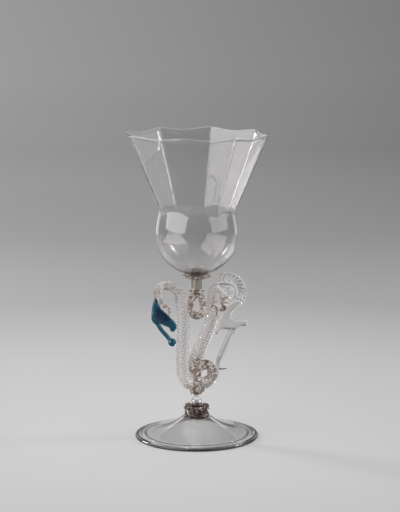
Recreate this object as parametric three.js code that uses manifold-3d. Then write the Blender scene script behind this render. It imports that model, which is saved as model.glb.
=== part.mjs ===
// A blown-glass goblet with a serpent stem, standing on the origin with +Z up and its front towards -Y.
//
// From the table up: a hollow conical foot, three wound rings and a button, a short waisted stem and its
// ribbed calyx, two twisted serpents and the loop between them, an upper stem with its mereses, and a bowl
// that is round below and eight-sided above. The left serpent carries a blue head, and the right one a clear
// comb, a forked wing and a rod. Each piece is a gather of glass of its own, fused hot to its neighbours.
// Lengths are in millimetres.

import * as THREE from "three";
import { mergeVertices } from "three/addons/utils/BufferGeometryUtils.js";
import Module from "manifold-3d";

const wasm = await Module();
wasm.setup();

// The clearance where a piece is cut to sit against its neighbour.
const seatGap = 0.3;

// The foot.
const footRadius = 48.5;
const footHeight = 17.4;
const footNeckRadius = 9.9;
const footWall = 1.7;
const footRimHeight = 2.4;
const footStandWidth = 1.8;
const footCrownThickness = 3.2;
const footSlopeShare = 0.42;
const footSlopePower = 3.2;

// The rings and the button on the foot.
const lowerRing = { radius: 9.9, height: 2, lobes: 0, lobeDepth: 0 };
const middleRing = { radius: 9.4, height: 2.4, lobes: 12, lobeDepth: 0.5 };
const upperRing = { radius: 10.5, height: 3.6, lobes: 12, lobeDepth: 0.8 };
const button = { radius: 4.7, height: 2.6, lobes: 0, lobeDepth: 0 };

// The lower stem and the calyx that holds the serpents.
const lowerStemHeight = 6.4;
const lowerStemEndRadius = 4.5;
const lowerStemWaistRadius = 3.9;
const calyxHeight = 6.6;
const calyxFootRadius = 4.7;
const calyxMouthRadius = 6.5;
const calyxLobes = 9;
const calyxLobeDepth = 0.5;

// The frame that the serpents are bent in: their rise above the calyx, their reach sideways and their depth.
const serpentRise = 80;
const serpentReach = 32;
const serpentDepth = 6;
const limbRadius = 5.1;
const archRadius = 3.7;
const neckRadius = 2.9;
const tipRadius = 2.3;
const coilRadius = 3.8;
const coilEndRadius = 2.8;
const curlRadius = 3.3;
const ribDepth = 0.5;
const ribLead = 66;
const ribCount = 6;

// The loop between the serpents.
const loopHeight = 16.6;
const loopWidth = 10;
const loopRadius = 2.8;
const loopForward = 3.4;

// The upper stem and the mereses under the bowl. The stem starts at a share of the serpents' rise.
const upperStemLevelShare = 0.945;
const upperStemHeight = 9.2;
const upperStemRadius = 4.3;
const upperStemFlareRadius = 6.8;
const stemMerese = { radius: 6.2, height: 1.3, lobes: 0, lobeDepth: 0 };
const bowlMerese = { radius: 11.3, height: 2.1, lobes: 0, lobeDepth: 0 };

// The bowl.
const bowlHeight = 110.9;
const bowlWall = 1.4;
const bowlFloor = 2.6;
const bowlPadRadius = 7;
const bulbRadius = 31.3;
const bulbCentreHeight = 30.9;
const waistRadius = 28.3;
const waistHeight = 47.4;
const waistBlend = 3.6;
const facetStartHeight = 62.6;
const rimRadius = 56.6;
const rimDip = 1.1;
const rimDipPower = 3;
const facets = 8;
const facetTurn = -11.9;

// The blue head on the left serpent.
const blueHeight = 27.5;
const blueWidth = 20.5;
const blueThickness = 3.6;
const blueBevel = 0.6;
const jawRadius = 1.75;
const jawBallRadius = 3.1;
const headCurlRadius = 1.1;
const headCurlReach = 5.2;

// The comb on the right serpent, and the thread wound inside it.
const combRadius = 16;
const combCoreRadius = 5.6;
const combCoreThickness = 3.6;
const combWebThickness = 1.5;
const combRibThickness = 1.1;
const combRimThickness = 2.3;
const combRibs = 10;
const combStart = 110;
const combSweep = 142;
const combLean = 4;
const combHubShares = [0.72, 0.931];
const threadRadius = 1.1;
const threadReach = 6.4;

// The forked wing, the rod below it and the spike beside the rod.
const wingHeight = 25.5;
const wingWidth = 26;
const wingThickness = 4;
const wingBevel = 0.7;
const wingRootShares = [0.44, 0.64];
const rodRootRadius = 1.9;
const rodRadius = 2.6;
const rodEndRadius = 1.8;
const spikeLength = 7.6;
const spikeRadius = 0.9;
const spikeTipRadius = 0.3;
const spikeSag = 0.4;
const spikePlaceShare = 0.66;

// Facets of the curved surfaces.
const wideSides = 40;
const narrowSides = 24;
const lobeSides = 3;
const ropeSides = 12;
const rodSides = 10;
const threadSides = 8;
const arcSteps = 3;
const bulbSteps = 7;
const funnelSteps = 3;
const leftSteps = 50;
const rightSteps = 76;
const loopSteps = 24;
const rodSteps = 28;
const spikeSteps = 6;

const rightAngle = Math.PI / 2;
const fullTurn = Math.PI * 2;

// Points on an ellipse, from one angle to another.
function arc(centreR, centreZ, radiusR, radiusZ, from, to, steps = arcSteps) {
  return Array.from({ length: steps + 1 }, (_, i) => {
    const angle = from + ((to - from) * i) / steps;
    return [centreR + radiusR * Math.cos(angle), centreZ + radiusZ * Math.sin(angle)];
  });
}

// A surface of revolution about +Z. The profile runs up the outside, from the axis round to the axis. A
// shaping function may move each point, given its angle, radius and height.
function turned(profile, sides, shaping = null) {
  const geometry = new THREE.LatheGeometry(profile.map(([r, z]) => new THREE.Vector2(r, z)), sides);
  geometry.rotateX(rightAngle);
  const position = geometry.getAttribute("position");
  for (let i = 0; shaping && i < position.count; i += 1) {
    const angle = Math.atan2(position.getY(i), position.getX(i));
    const radius = Math.hypot(position.getX(i), position.getY(i));
    const [r, z] = shaping(angle, radius, position.getZ(i));
    position.setXYZ(i, r * Math.cos(angle), r * Math.sin(angle), z);
  }
  return geometry;
}

// A closed skin over rings of points. It ends in a cap at each end, or meets itself where it is joined.
function skin(rings, joined = false) {
  const count = rings[0].length;
  const corners = rings.flat();
  const faces = [];
  const spans = joined ? rings.length : rings.length - 1;
  for (let i = 0; i < spans; i += 1) {
    const next = ((i + 1) % rings.length) * count;
    for (let j = 0; j < count; j += 1) {
      const a = i * count + j;
      const b = i * count + ((j + 1) % count);
      const c = next + j;
      const d = next + ((j + 1) % count);
      faces.push(a, b, c, b, d, c);
    }
  }
  const addCap = (start, turnedOver) => {
    const middle = new THREE.Vector3();
    for (let j = 0; j < count; j += 1) middle.addScaledVector(corners[start + j], 1 / count);
    corners.push(middle);
    for (let j = 0; j < count; j += 1) {
      const a = start + j;
      const b = start + ((j + 1) % count);
      faces.push(...(turnedOver ? [b, a] : [a, b]), corners.length - 1);
    }
  };
  if (!joined) {
    addCap(0, true);
    addCap((rings.length - 1) * count, false);
  }
  const geometry = new THREE.BufferGeometry().setFromPoints(corners);
  geometry.setIndex(faces);
  return geometry;
}

// The value at a share of the way along a table of [share, value] rows, eased between rows.
function eased(rows, share) {
  const next = Math.max(1, rows.findIndex(([at]) => at >= share));
  const [from, start] = rows[next - 1];
  const [to, end] = rows[next];
  return start + (end - start) * THREE.MathUtils.smoothstep(share, from, to);
}

// A rod of glass along a curve, with a radius for each place. Ribs wind round it where it is a rope.
function rod(curve, radii, steps, { sides = rodSides, ribs = 0, grow = 0 } = {}) {
  const closed = curve.closed;
  const frames = curve.computeFrenetFrames(steps, closed);
  const turns = ribs ? curve.getLength() / ribLead : 0;
  const turn = (fullTurn * (closed ? Math.ceil(turns) : turns)) / steps;
  const count = closed ? steps : steps + 1;
  const rings = Array.from({ length: count }, (_, i) => {
    const centre = curve.getPointAt(i / steps);
    const radius = eased(radii, i / steps) + grow;
    return Array.from({ length: sides }, (__, j) => {
      const angle = (fullTurn * j) / sides + turn * i;
      const swell = (ribDepth / 2) * Math.cos((ribs * fullTurn * j) / sides);
      const reach = ribs ? radius + (grow ? ribDepth / 2 : swell) : radius;
      return centre
        .clone()
        .addScaledVector(frames.normals[i], reach * Math.cos(angle))
        .addScaledVector(frames.binormals[i], reach * Math.sin(angle));
    });
  });
  return skin(rings, closed);
}

// A geometry as a solid, for cutting.
function solidOf(geometry) {
  const bare = geometry.clone();
  bare.deleteAttribute("normal");
  bare.deleteAttribute("uv");
  const merged = mergeVertices(bare);
  return new wasm.Manifold(new wasm.Mesh({
    numProp: 3,
    vertProperties: new Float32Array(merged.getAttribute("position").array),
    triVerts: new Uint32Array(merged.index.array),
  }));
}

function geometryOf(solid) {
  const { vertProperties, triVerts } = solid.getMesh();
  const geometry = new THREE.BufferGeometry();
  geometry.setAttribute("position", new THREE.BufferAttribute(vertProperties, 3));
  geometry.setIndex(new THREE.BufferAttribute(triVerts, 1));
  return geometry;
}

// A geometry with others cut out of it.
function cut(geometry, ...tools) {
  return geometryOf(tools.reduce((solid, tool) => solid.subtract(solidOf(tool)), solidOf(geometry)));
}

// A disc with a rounded edge that stands on a level. Its lobes are pinched into the edge.
function disc({ radius, height, lobes, lobeDepth }, level) {
  const edge = height / 2;
  const profile = [
    [0, level],
    ...arc(radius - edge, level + edge, edge, edge, -rightAngle, rightAngle),
    [0, level + height],
  ];
  return turned(profile, lobes * lobeSides || narrowSides, (angle, r, z) => {
    const pinch = (lobeDepth * (1 - Math.cos(lobes * angle))) / 2;
    return [r > 0 ? r - pinch : r, z];
  });
}

// The foot's upper surface swings up from the rim to the neck. This gives its height at a radius.
function footSurface(radius) {
  const inward = (footRadius - radius) / (footRadius - footNeckRadius);
  const rise = footSlopeShare * inward + (1 - footSlopeShare) * inward ** footSlopePower;
  return footRimHeight + (footHeight - footRimHeight) * rise;
}

function makeFoot() {
  const steps = 7;
  const edge = footRimHeight / 2;
  const span = footRadius - edge - footNeckRadius;
  const radii = Array.from({ length: steps }, (_, i) => footNeckRadius + (span * i) / steps);
  const standInner = footRadius - edge - footStandWidth;
  const crown = footHeight - footCrownThickness;
  const inside = radii
    .filter((r) => r < standInner - footStandWidth)
    .map((r) => [r, Math.min(footSurface(r) - footWall, crown)]);
  return turned([
    [0, crown],
    ...inside,
    [standInner, 0],
    ...arc(footRadius - edge, edge, edge, edge, -rightAngle, rightAngle),
    ...radii.map((r) => [r, footSurface(r)]).reverse(),
    [0, footHeight],
  ], wideSides);
}

function makeLowerStem(level) {
  const steps = 6;
  const wall = Array.from({ length: steps + 1 }, (_, i) => {
    const flare = ((2 * i) / steps - 1) ** 2;
    const radius = lowerStemWaistRadius + (lowerStemEndRadius - lowerStemWaistRadius) * flare;
    return [radius, level + (lowerStemHeight * i) / steps];
  });
  return turned([[0, level], ...wall, [0, level + lowerStemHeight]], narrowSides);
}

function makeCalyx(level) {
  const swell = calyxMouthRadius - calyxFootRadius;
  const wall = arc(calyxFootRadius, level + calyxHeight, swell, calyxHeight, -rightAngle, 0);
  const profile = [[0, level], ...wall, [0, level + calyxHeight]];
  return turned(profile, calyxLobes * lobeSides, (angle, r, z) => {
    const pinch = (calyxLobeDepth * (1 - Math.cos(calyxLobes * angle))) / 2;
    return [r > 0 ? r - pinch : r, z];
  });
}

function makeUpperStem(level) {
  const flare = upperStemFlareRadius - upperStemRadius;
  const wall = arc(upperStemFlareRadius, level + flare, flare, flare, -rightAngle, -2 * rightAngle);
  return turned([
    [0, level - loopRadius],
    [upperStemRadius, level - loopRadius],
    ...wall,
    [upperStemRadius, level + upperStemHeight],
    [0, level + upperStemHeight],
  ], narrowSides);
}

// The bowl's wall from the pad to the rim, for a surface that lies this far inside the outer one.
function bowlSurface(inset) {
  const bulb = bulbRadius - inset;
  const waist = waistRadius - inset;
  const floor = inset ? bowlFloor : 0;
  const start = inset ? -rightAngle : -Math.acos(bowlPadRadius / bulb);
  const shoulderAngle = Math.acos(waist / bulb);
  const shoulderHeight = (waistHeight - bulbCentreHeight) / Math.sin(shoulderAngle);
  const blendAngle = Math.asin((waistHeight - waistBlend - bulbCentreHeight) / shoulderHeight);
  const lower = arc(0, bulbCentreHeight, bulb, bulbCentreHeight - floor, start, 0, bulbSteps);
  const upper = arc(0, bulbCentreHeight, bulb, shoulderHeight, 0, blendAngle).slice(1);
  const slope = (rimRadius - waistRadius) / (bowlHeight - waistHeight);
  const crease = new THREE.QuadraticBezierCurve(
    new THREE.Vector2(...upper[upper.length - 1]),
    new THREE.Vector2(waist, waistHeight),
    new THREE.Vector2(waist + slope * waistBlend, waistHeight + waistBlend),
  );
  const lip = bowlHeight - bowlWall / 2;
  const funnelStart = waistHeight + waistBlend;
  const funnel = Array.from({ length: funnelSteps }, (_, i) => {
    const z = funnelStart + ((lip - funnelStart) * (i + 1)) / funnelSteps;
    return [waist + slope * (z - waistHeight), z];
  });
  return [...lower, ...upper, ...crease.getPoints(arcSteps).slice(1).map((p) => [p.x, p.y]), ...funnel];
}

function makeBowl(level) {
  const outside = bowlSurface(0);
  const inside = bowlSurface(bowlWall).reverse();
  const crown = [[rimRadius - bowlWall / 2, bowlHeight]];
  const profile = [[0, 0], ...outside, ...crown, ...inside.slice(0, -1), [0, bowlFloor]];
  const side = fullTurn / facets;
  const bowl = turned(profile, wideSides, (angle, r, z) => {
    const fromMiddle = THREE.MathUtils.euclideanModulo(angle, side) - side / 2;
    const flat = Math.cos(side / 2) / Math.cos(fromMiddle);
    const faceting = THREE.MathUtils.smoothstep(z, waistHeight, facetStartHeight);
    const rise = Math.max(0, (z - facetStartHeight) / (bowlHeight - facetStartHeight));
    const dip = rimDip * Math.sin((facets * angle) / 2) ** 2 * rise ** rimDipPower;
    return [r * (1 + (flat - 1) * faceting), z - dip];
  });
  bowl.rotateZ(THREE.MathUtils.degToRad(facetTurn));
  bowl.translate(0, 0, level);
  return bowl;
}

// Routes of the serpents, as shares of their reach, depth and rise, measured from the calyx's mouth.
const leftRouteShares = [
  [-0.075, 0.4, -0.014], [-0.222, 0.4, 0.031], [-0.316, 0.4, 0.103], [-0.345, 0.4, 0.203],
  [-0.348, 0.35, 0.353], [-0.34, 0.3, 0.553], [-0.342, 0.25, 0.733], [-0.368, 0.2, 0.831],
  [-0.425, 0.1, 0.911], [-0.534, 0, 0.965], [-0.706, -0.1, 0.998], [-0.866, -0.1, 0.99],
  [-0.95, 0, 0.951], [-0.956, 0.1, 0.891], [-0.903, 0.15, 0.831], [-0.831, 0.2, 0.793],
];
const rightRouteShares = [
  [0.05, -0.9, 0.1], [0.02, -0.95, 0.145], [0.08, -0.9, 0.195], [0.19, -0.8, 0.22],
  [0.305, -0.7, 0.203], [0.375, -0.55, 0.15], [0.37, -0.4, 0.093], [0.28, -0.3, 0.055],
  [0.11, -0.1, 0.034], [-0.02, 0.25, 0.083], [-0.045, 0.42, 0.165], [-0.012, 0.42, 0.255],
  [0.072, 0.35, 0.353], [0.197, 0.3, 0.473], [0.319, 0.25, 0.603], [0.378, 0.25, 0.703],
  [0.375, 0.25, 0.8], [0.36, 0.25, 0.881], [0.41, 0.15, 0.95], [0.53, 0, 0.965],
  [0.645, -0.2, 0.92], [0.675, -0.45, 0.845], [0.6, -0.65, 0.785],
];

function routeThrough(shares, level) {
  const points = shares.map(([x, y, z]) =>
    new THREE.Vector3(x * serpentReach, y * serpentDepth, level + z * serpentRise));
  return new THREE.CatmullRomCurve3(points);
}

// Radii of the ropes and the rod, each at a share of the way along.
const leftRadiiAtShares = [
  [0, limbRadius], [0.55, limbRadius], [0.76, archRadius], [0.9, neckRadius], [1, tipRadius],
];
const rightRadiiAtShares = [
  [0, coilEndRadius], [0.1, coilRadius], [0.26, coilRadius], [0.37, limbRadius], [0.64, limbRadius],
  [0.8, curlRadius], [1, tipRadius],
];
const rodRadiiAtShares = [
  [0, rodRootRadius], [0.1, rodRadius], [0.45, rodRadius], [0.62, rodEndRadius], [1, rodEndRadius],
];
const evenRadius = (radius) => [[0, radius], [1, radius]];

// The loop hangs from the upper stem, a little in front of the serpents. It is a closed teardrop.
const loopShares = [
  [0, 1], [-0.3, 0.86], [-0.48, 0.5], [-0.42, 0.16], [0, 0], [0.46, 0.16], [0.52, 0.5], [0.32, 0.86],
];
function loopRoute(level) {
  const points = loopShares.map(([x, z]) =>
    new THREE.Vector3(x * loopWidth, -loopForward * (1 - z * z), level + (z - 1) * loopHeight));
  return new THREE.CatmullRomCurve3(points, true);
}

// A smooth closed outline through shares of a width and a height, from an anchor.
function outlineThrough(shares, width, height, anchor, perSpan = 2) {
  const points = shares.map(([x, z]) => new THREE.Vector3(anchor.x + x * width, anchor.z + z * height, 0));
  const steps = points.length * perSpan;
  const curve = new THREE.CatmullRomCurve3(points, true);
  return curve.getPoints(steps).slice(0, steps).map((p) => new THREE.Vector2(p.x, p.y));
}

// A plate of glass over an outline in the XZ plane, rounded at its edges, with its middle at a depth.
function plate(outline, thickness, bevel, depth, grow = 0) {
  const geometry = new THREE.ExtrudeGeometry(new THREE.Shape(outline), {
    depth: thickness - 2 * bevel,
    bevelThickness: bevel + grow,
    bevelSize: bevel + grow,
    bevelOffset: -bevel,
    bevelSegments: 2,
  });
  geometry.rotateX(rightAngle);
  geometry.translate(0, depth + thickness / 2 - bevel, 0);
  return geometry;
}

// The blue crest with the upper jaw, as shares of the head's width and height from the serpent's tip.
const crestShares = [
  [-0.25, 0.25], [-0.345, 0.14], [-0.405, -0.06], [-0.43, -0.27], [-0.405, -0.42], [-0.29, -0.51],
  [-0.12, -0.5], [0.1, -0.57], [0.25, -0.62], [0.29, -0.7], [0.4, -0.735], [0.52, -0.66], [0.53, -0.56],
  [0.46, -0.45], [0.3, -0.33], [0.16, -0.22], [-0.02, -0.1], [-0.15, 0.05],
];
const headForwardShare = 0.72;

function headDepth(tip) {
  return tip.y - headForwardShare * (tipRadius + blueThickness / 2);
}

function makeCrest(tip, grow = 0) {
  const outline = outlineThrough(crestShares, blueWidth, blueHeight, tip);
  return plate(outline, blueThickness, blueBevel, headDepth(tip), grow);
}

// The lower jaw runs back from under the crest, and ends in a ball.
const jawShares = [[-0.26, -0.42], [-0.06, -0.67], [0.13, -0.85], [0.24, -0.975]];
const ballSetShare = 0.7;
const jawSteps = 8;

function makeJaw(tip) {
  const points = jawShares.map(([x, z]) =>
    new THREE.Vector3(tip.x + x * blueWidth, headDepth(tip), tip.z + z * blueHeight));
  const route = new THREE.CatmullRomCurve3(points);
  const strip = rod(route, evenRadius(jawRadius), jawSteps);
  const centre = route.getPoint(1).addScaledVector(route.getTangent(1), jawBallRadius * ballSetShare);
  const ball = new THREE.SphereGeometry(jawBallRadius, ropeSides, rodSides);
  ball.translate(centre.x, centre.y, centre.z);
  return geometryOf(solidOf(strip).add(solidOf(ball)));
}

// The small clear curl stands on the crest's upper edge, behind the neck's end.
const headCurlShares = [
  [0.05, -0.85], [-0.1, -0.3], [0.1, 0.35], [0.45, 0.5], [0.8, 0.3], [1, -0.3], [1.02, -1],
];
const headCurlSteps = 12;

function makeHeadCurl(tip) {
  const points = headCurlShares.map(([x, z]) =>
    new THREE.Vector3(tip.x + x * headCurlReach, headDepth(tip), tip.z - tipRadius + z * headCurlReach));
  const route = new THREE.CatmullRomCurve3(points);
  return rod(route, evenRadius(headCurlRadius), headCurlSteps, { sides: threadSides });
}

// The comb is a fan about its hub. Its section runs from the core over the web to the rim bead. Its first
// edge stands upright, so the core leans outward there and comes back along the first part of the sweep.
const combLeanShare = 0.35;
const combRibSteps = 4;
function makeComb(hub, grow = 0) {
  const steps = combRibs * combRibSteps;
  const bead = combRimThickness / 2;
  const rings = Array.from({ length: steps + 1 }, (_, i) => {
    const angle = THREE.MathUtils.degToRad(combStart - (combSweep * i) / steps);
    const rib = (combRibThickness * (1 - Math.cos((fullTurn * combRibs * i) / steps))) / 4;
    const web = combWebThickness / 2 + rib;
    const half = [
      [combCoreRadius - grow, combCoreThickness / 4],
      [combCoreRadius + combCoreThickness / 4, combCoreThickness / 2],
      [combCoreRadius + combCoreThickness, web],
      [combRadius - 2 * bead, web],
      [combRadius - bead, bead],
      [combRadius + grow, bead / 3],
    ];
    const section = [
      ...half.map(([r, y]) => [r, -y - grow]),
      ...half.map(([r, y]) => [r, y + grow]).reverse(),
    ];
    const lean = combLean * (1 - THREE.MathUtils.smoothstep(i / steps, 0, combLeanShare));
    return section.map(([r, y]) => {
      const inward = (combRadius - r) / (combRadius - combCoreRadius);
      return new THREE.Vector3(
        hub.x + r * Math.cos(angle) - lean * inward,
        hub.y + y,
        hub.z + r * Math.sin(angle),
      );
    });
  });
  return skin(rings.reverse());
}

// The thread hooks down inside the comb's core.
const threadShares = [[0.05, 0.72], [0.5, 0.5], [0.68, 0], [0.62, -0.55], [0.3, -0.95]];
const threadSteps = 10;

function makeThread(hub) {
  const points = threadShares.map(([x, z]) =>
    new THREE.Vector3(hub.x + x * threadReach, hub.y, hub.z + z * threadReach));
  const route = new THREE.CatmullRomCurve3(points);
  return rod(route, evenRadius(threadRadius), threadSteps, { sides: threadSides });
}

// The wing, as shares of its width and height from the right serpent's side.
const wingShares = [
  [0, -0.34], [0.08, -0.1], [0.2, 0.22], [0.3, 0.42], [0.46, 0.58], [0.64, 0.68], [0.84, 0.6], [0.72, 0.47],
  [0.57, 0.33], [0.5, 0.22], [0.53, 0.12], [0.62, 0.07], [0.78, 0.06], [0.93, 0.07], [1, 0], [0.97, -0.12],
  [0.8, -0.15], [0.64, -0.24], [0.44, -0.25], [0.24, -0.25], [0.07, -0.4],
];

function makeWing(root, grow = 0) {
  const outline = outlineThrough(wingShares, wingWidth, wingHeight, root).reverse();
  return plate(outline, wingThickness, wingBevel, root.y, grow);
}

// The rod runs from under the wing, round the back of the coil, to the calyx. It starts at shares of the
// wing's width and height, and goes on at shares of the serpents' reach, depth and rise.
const rodStartShares = [0.55, -0.18];
const rodShares = [
  [0.81, 0.15, 0.502], [0.705, 0.3, 0.402], [0.6, 0.5, 0.302], [0.54, 0.62, 0.24], [0.502, 0.65, 0.17],
  [0.482, 0.6, 0.1], [0.435, 0.5, 0.05], [0.34, 0.4, 0.012], [0.2, 0.3, -0.024],
];
function rodRoute(root, calyxTop) {
  const [startX, startZ] = rodStartShares;
  const top = new THREE.Vector3(root.x + startX * wingWidth, root.y, root.z + startZ * wingHeight);
  const points = rodShares.map(([x, y, z]) =>
    new THREE.Vector3(x * serpentReach, y * serpentDepth, calyxTop + z * serpentRise));
  return new THREE.CatmullRomCurve3([top, ...points]);
}

function makeSpike(from) {
  const tip = from.clone().add(new THREE.Vector3(spikeLength, 0, 0));
  const middle = from.clone().lerp(tip, 0.5);
  middle.z -= spikeSag;
  const route = new THREE.CatmullRomCurve3([from, middle, tip]);
  return rod(route, [[0, spikeRadius], [1, spikeTipRadius]], spikeSteps, { sides: threadSides });
}

// Levels of the pieces that stand one on another.
const lowerRingLevel = footHeight;
const middleRingLevel = lowerRingLevel + lowerRing.height;
const upperRingLevel = middleRingLevel + middleRing.height;
const buttonLevel = upperRingLevel + upperRing.height;
const lowerStemLevel = buttonLevel + button.height;
const calyxLevel = lowerStemLevel + lowerStemHeight;
const serpentLevel = calyxLevel + calyxHeight;
const upperStemLevel = serpentLevel + upperStemLevelShare * serpentRise;
const stemMereseLevel = upperStemLevel + upperStemHeight;
const bowlMereseLevel = stemMereseLevel + stemMerese.height;
const bowlLevel = bowlMereseLevel + bowlMerese.height;

const leftRoute = routeThrough(leftRouteShares, serpentLevel);
const rightRoute = routeThrough(rightRouteShares, serpentLevel);
const loop = loopRoute(upperStemLevel - loopRadius);
const leftTip = leftRoute.getPoint(1);
const sidePlace = ([x, z]) => new THREE.Vector3(x * serpentReach, 0, serpentLevel + z * serpentRise);
const combHub = sidePlace(combHubShares);
const wingRoot = sidePlace(wingRootShares);
const rodCurve = rodRoute(wingRoot, serpentLevel);

const rope = { sides: ropeSides, ribs: ribCount };
const grownRope = { ...rope, grow: seatGap };
const rightTool = rod(rightRoute, rightRadiiAtShares, rightSteps, grownRope);
const leftTool = rod(leftRoute, leftRadiiAtShares, leftSteps, grownRope);
const loopTool = rod(loop, evenRadius(loopRadius), loopSteps, grownRope);
const rodTool = rod(rodCurve, rodRadiiAtShares, rodSteps, { grow: seatGap });
const calyx = makeCalyx(calyxLevel);
const spikeFrom = rodCurve.getPointAt(spikePlaceShare);

const clear = { color: 0xd9dcdb, roughness: 0.04, metalness: 0 };
const warm = { color: 0xcdbfb2, roughness: 0.06, metalness: 0 };
const dark = { color: 0x7a6654, roughness: 0.08, metalness: 0 };
const blue = { color: 0x143a52, roughness: 0.05, metalness: 0 };

const rightSerpent = rod(rightRoute, rightRadiiAtShares, rightSteps, rope);
const leftSerpent = rod(leftRoute, leftRadiiAtShares, leftSteps, rope);
const centreLoop = rod(loop, evenRadius(loopRadius), loopSteps, rope);
const sideRod = rod(rodCurve, rodRadiiAtShares, rodSteps);
const grownCrest = makeCrest(leftTip, seatGap);
const grownComb = makeComb(combHub, seatGap);
const grownWing = makeWing(wingRoot, seatGap);

const pieces = [
  ["foot", makeFoot(), clear],
  ["foot_ring_lower", disc(lowerRing, lowerRingLevel), dark],
  ["foot_ring_middle", disc(middleRing, middleRingLevel), dark],
  ["foot_ring_upper", disc(upperRing, upperRingLevel), dark],
  ["foot_button", disc(button, buttonLevel), dark],
  ["lower_stem", makeLowerStem(lowerStemLevel), clear],
  ["calyx", cut(calyx, rightTool, leftTool), warm],
  ["right_serpent", rightSerpent, warm],
  ["left_serpent", cut(leftSerpent, rightTool), clear],
  ["centre_loop", cut(centreLoop, rightTool, leftTool), warm],
  ["upper_stem", cut(makeUpperStem(upperStemLevel), loopTool, rightTool, leftTool), clear],
  ["stem_merese", disc(stemMerese, stemMereseLevel), warm],
  ["bowl_merese", disc(bowlMerese, bowlMereseLevel), warm],
  ["bowl", makeBowl(bowlLevel), clear],
  ["blue_crest", cut(makeCrest(leftTip), leftTool), blue],
  ["blue_jaw", cut(makeJaw(leftTip), grownCrest), blue],
  ["head_curl", cut(makeHeadCurl(leftTip), grownCrest, leftTool), clear],
  ["comb", cut(makeComb(combHub), rightTool), clear],
  ["comb_thread", cut(makeThread(combHub), grownComb, rightTool), clear],
  ["wing", cut(makeWing(wingRoot), rightTool, grownComb), clear],
  ["rod", cut(sideRod, rightTool, grownWing, calyx), clear],
  ["tail_spike", cut(makeSpike(spikeFrom), rodTool, rightTool), dark],
];

const group = new THREE.Group();
for (const [name, geometry, finish] of pieces) {
  const mesh = new THREE.Mesh(geometry, new THREE.MeshStandardMaterial(finish));
  mesh.name = name;
  group.add(mesh);
}

export default group;
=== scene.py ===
"""A blown-glass goblet with a serpent stem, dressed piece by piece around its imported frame.

Sizes in the classes are millimetres, and meshes are made in metres. The goblet stands at the origin, with
+Z up and its front towards -Y. Each class is one sub-assembly: it holds its sizes, builds its meshes and
dresses them.
"""

import logging
import math
from collections.abc import Callable, Mapping, Sequence
from dataclasses import dataclass, field, replace
from enum import Enum

import bpy
import numpy as np
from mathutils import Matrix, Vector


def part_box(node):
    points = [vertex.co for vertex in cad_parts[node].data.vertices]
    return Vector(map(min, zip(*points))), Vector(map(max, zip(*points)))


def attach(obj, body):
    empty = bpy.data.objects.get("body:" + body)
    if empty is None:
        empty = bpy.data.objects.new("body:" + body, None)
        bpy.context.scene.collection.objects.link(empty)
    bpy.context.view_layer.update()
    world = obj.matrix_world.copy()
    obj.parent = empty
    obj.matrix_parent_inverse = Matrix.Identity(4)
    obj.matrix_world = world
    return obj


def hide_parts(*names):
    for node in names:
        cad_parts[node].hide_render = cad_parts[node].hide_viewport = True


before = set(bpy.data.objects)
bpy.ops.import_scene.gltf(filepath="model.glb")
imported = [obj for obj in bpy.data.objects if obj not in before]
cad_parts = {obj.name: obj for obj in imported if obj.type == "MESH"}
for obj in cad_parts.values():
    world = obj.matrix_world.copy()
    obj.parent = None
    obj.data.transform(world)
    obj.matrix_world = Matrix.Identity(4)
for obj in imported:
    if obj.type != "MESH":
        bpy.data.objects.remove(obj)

LOG = logging.getLogger("goblet")
MM = 0.001
FULL_TURN = 2 * math.pi
RIGHT_ANGLE = math.pi / 2
BODY = "root"
CREASE_ANGLE = math.radians(50)

# Gaps between pieces, and between a piece and the levels of its node, in millimetres.
SEAT_GAP = 0.12
LEVEL_GAP = 0.03

# The radius of the small ring that closes a turned piece at its axis, and the least of any rod or plate.
AXIS_RADIUS = 0.3
LEAST_RADIUS = 0.02

# Ribs shallower than this fade at a rope's ends as ribs of this depth do.
LEAST_RIB = 0.1

# Points round a rope for each of its ribs.
RIB_POINTS = 10

# The skin and the weld of a melted plate, in millimetres, and how close to its poles a ball's rings come.
PLATE_SKIN = 0.24
PLATE_WELD = 0.002
POLE_SHARE = 0.98

# How far one round of smoothing moves a point towards its neighbours, as a share.
SOFTENING = 0.5

Array = np.ndarray
Piece = bpy.types.Object
Tree = bpy.types.NodeTree
Socket = bpy.types.NodeSocket
Point = tuple[float, float, float]
Share = tuple[float, float]
Shape = tuple[Array, list[tuple[int, ...]]]
Radii = Callable[[Array], Array]
Shaping = Callable[[Array, Array, Array], tuple[Array, Array]]


class Slot(Enum):
    """The record's material slots."""

    CLEAR = "clear_glass"
    ROPE = "rope_glass"
    WARM = "warm_glass"
    DARK = "dark_glass"
    BLUE = "blue_glass"


class Ends(Enum):
    """How a swept rod ends."""

    ROUND = "round"
    JOINED = "joined"


def add_object(name: str, data: bpy.types.ID) -> Piece:
    """Puts an object with this mesh, curve, lamp or camera into the scene.

    Args:
        name: The object's name.
        data: The mesh, curve, lamp or camera.

    Returns:
        The object.
    """
    made = bpy.data.objects.new(name, data)
    bpy.context.scene.collection.objects.link(made)
    return made


def add_node(tree: Tree, kind: str, fed: Mapping[str | int, Socket | float | tuple[float, ...]] | None = None,
             **settings: str) -> bpy.types.Node:
    """A shader node with its inputs linked or set.

    Args:
        tree: The tree that gets the node.
        kind: The node's type, after the words ShaderNode.
        fed: A socket to link or a value to set, for each input's name or number.
        settings: The node's own settings.

    Returns:
        The node.
    """
    node = tree.nodes.new("ShaderNode" + kind)
    for name, value in settings.items():
        setattr(node, name, value)
    for key, value in (fed or {}).items():
        if isinstance(value, Socket):
            tree.links.new(value, node.inputs[key])
        else:
            node.inputs[key].default_value = value
    return node


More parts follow.
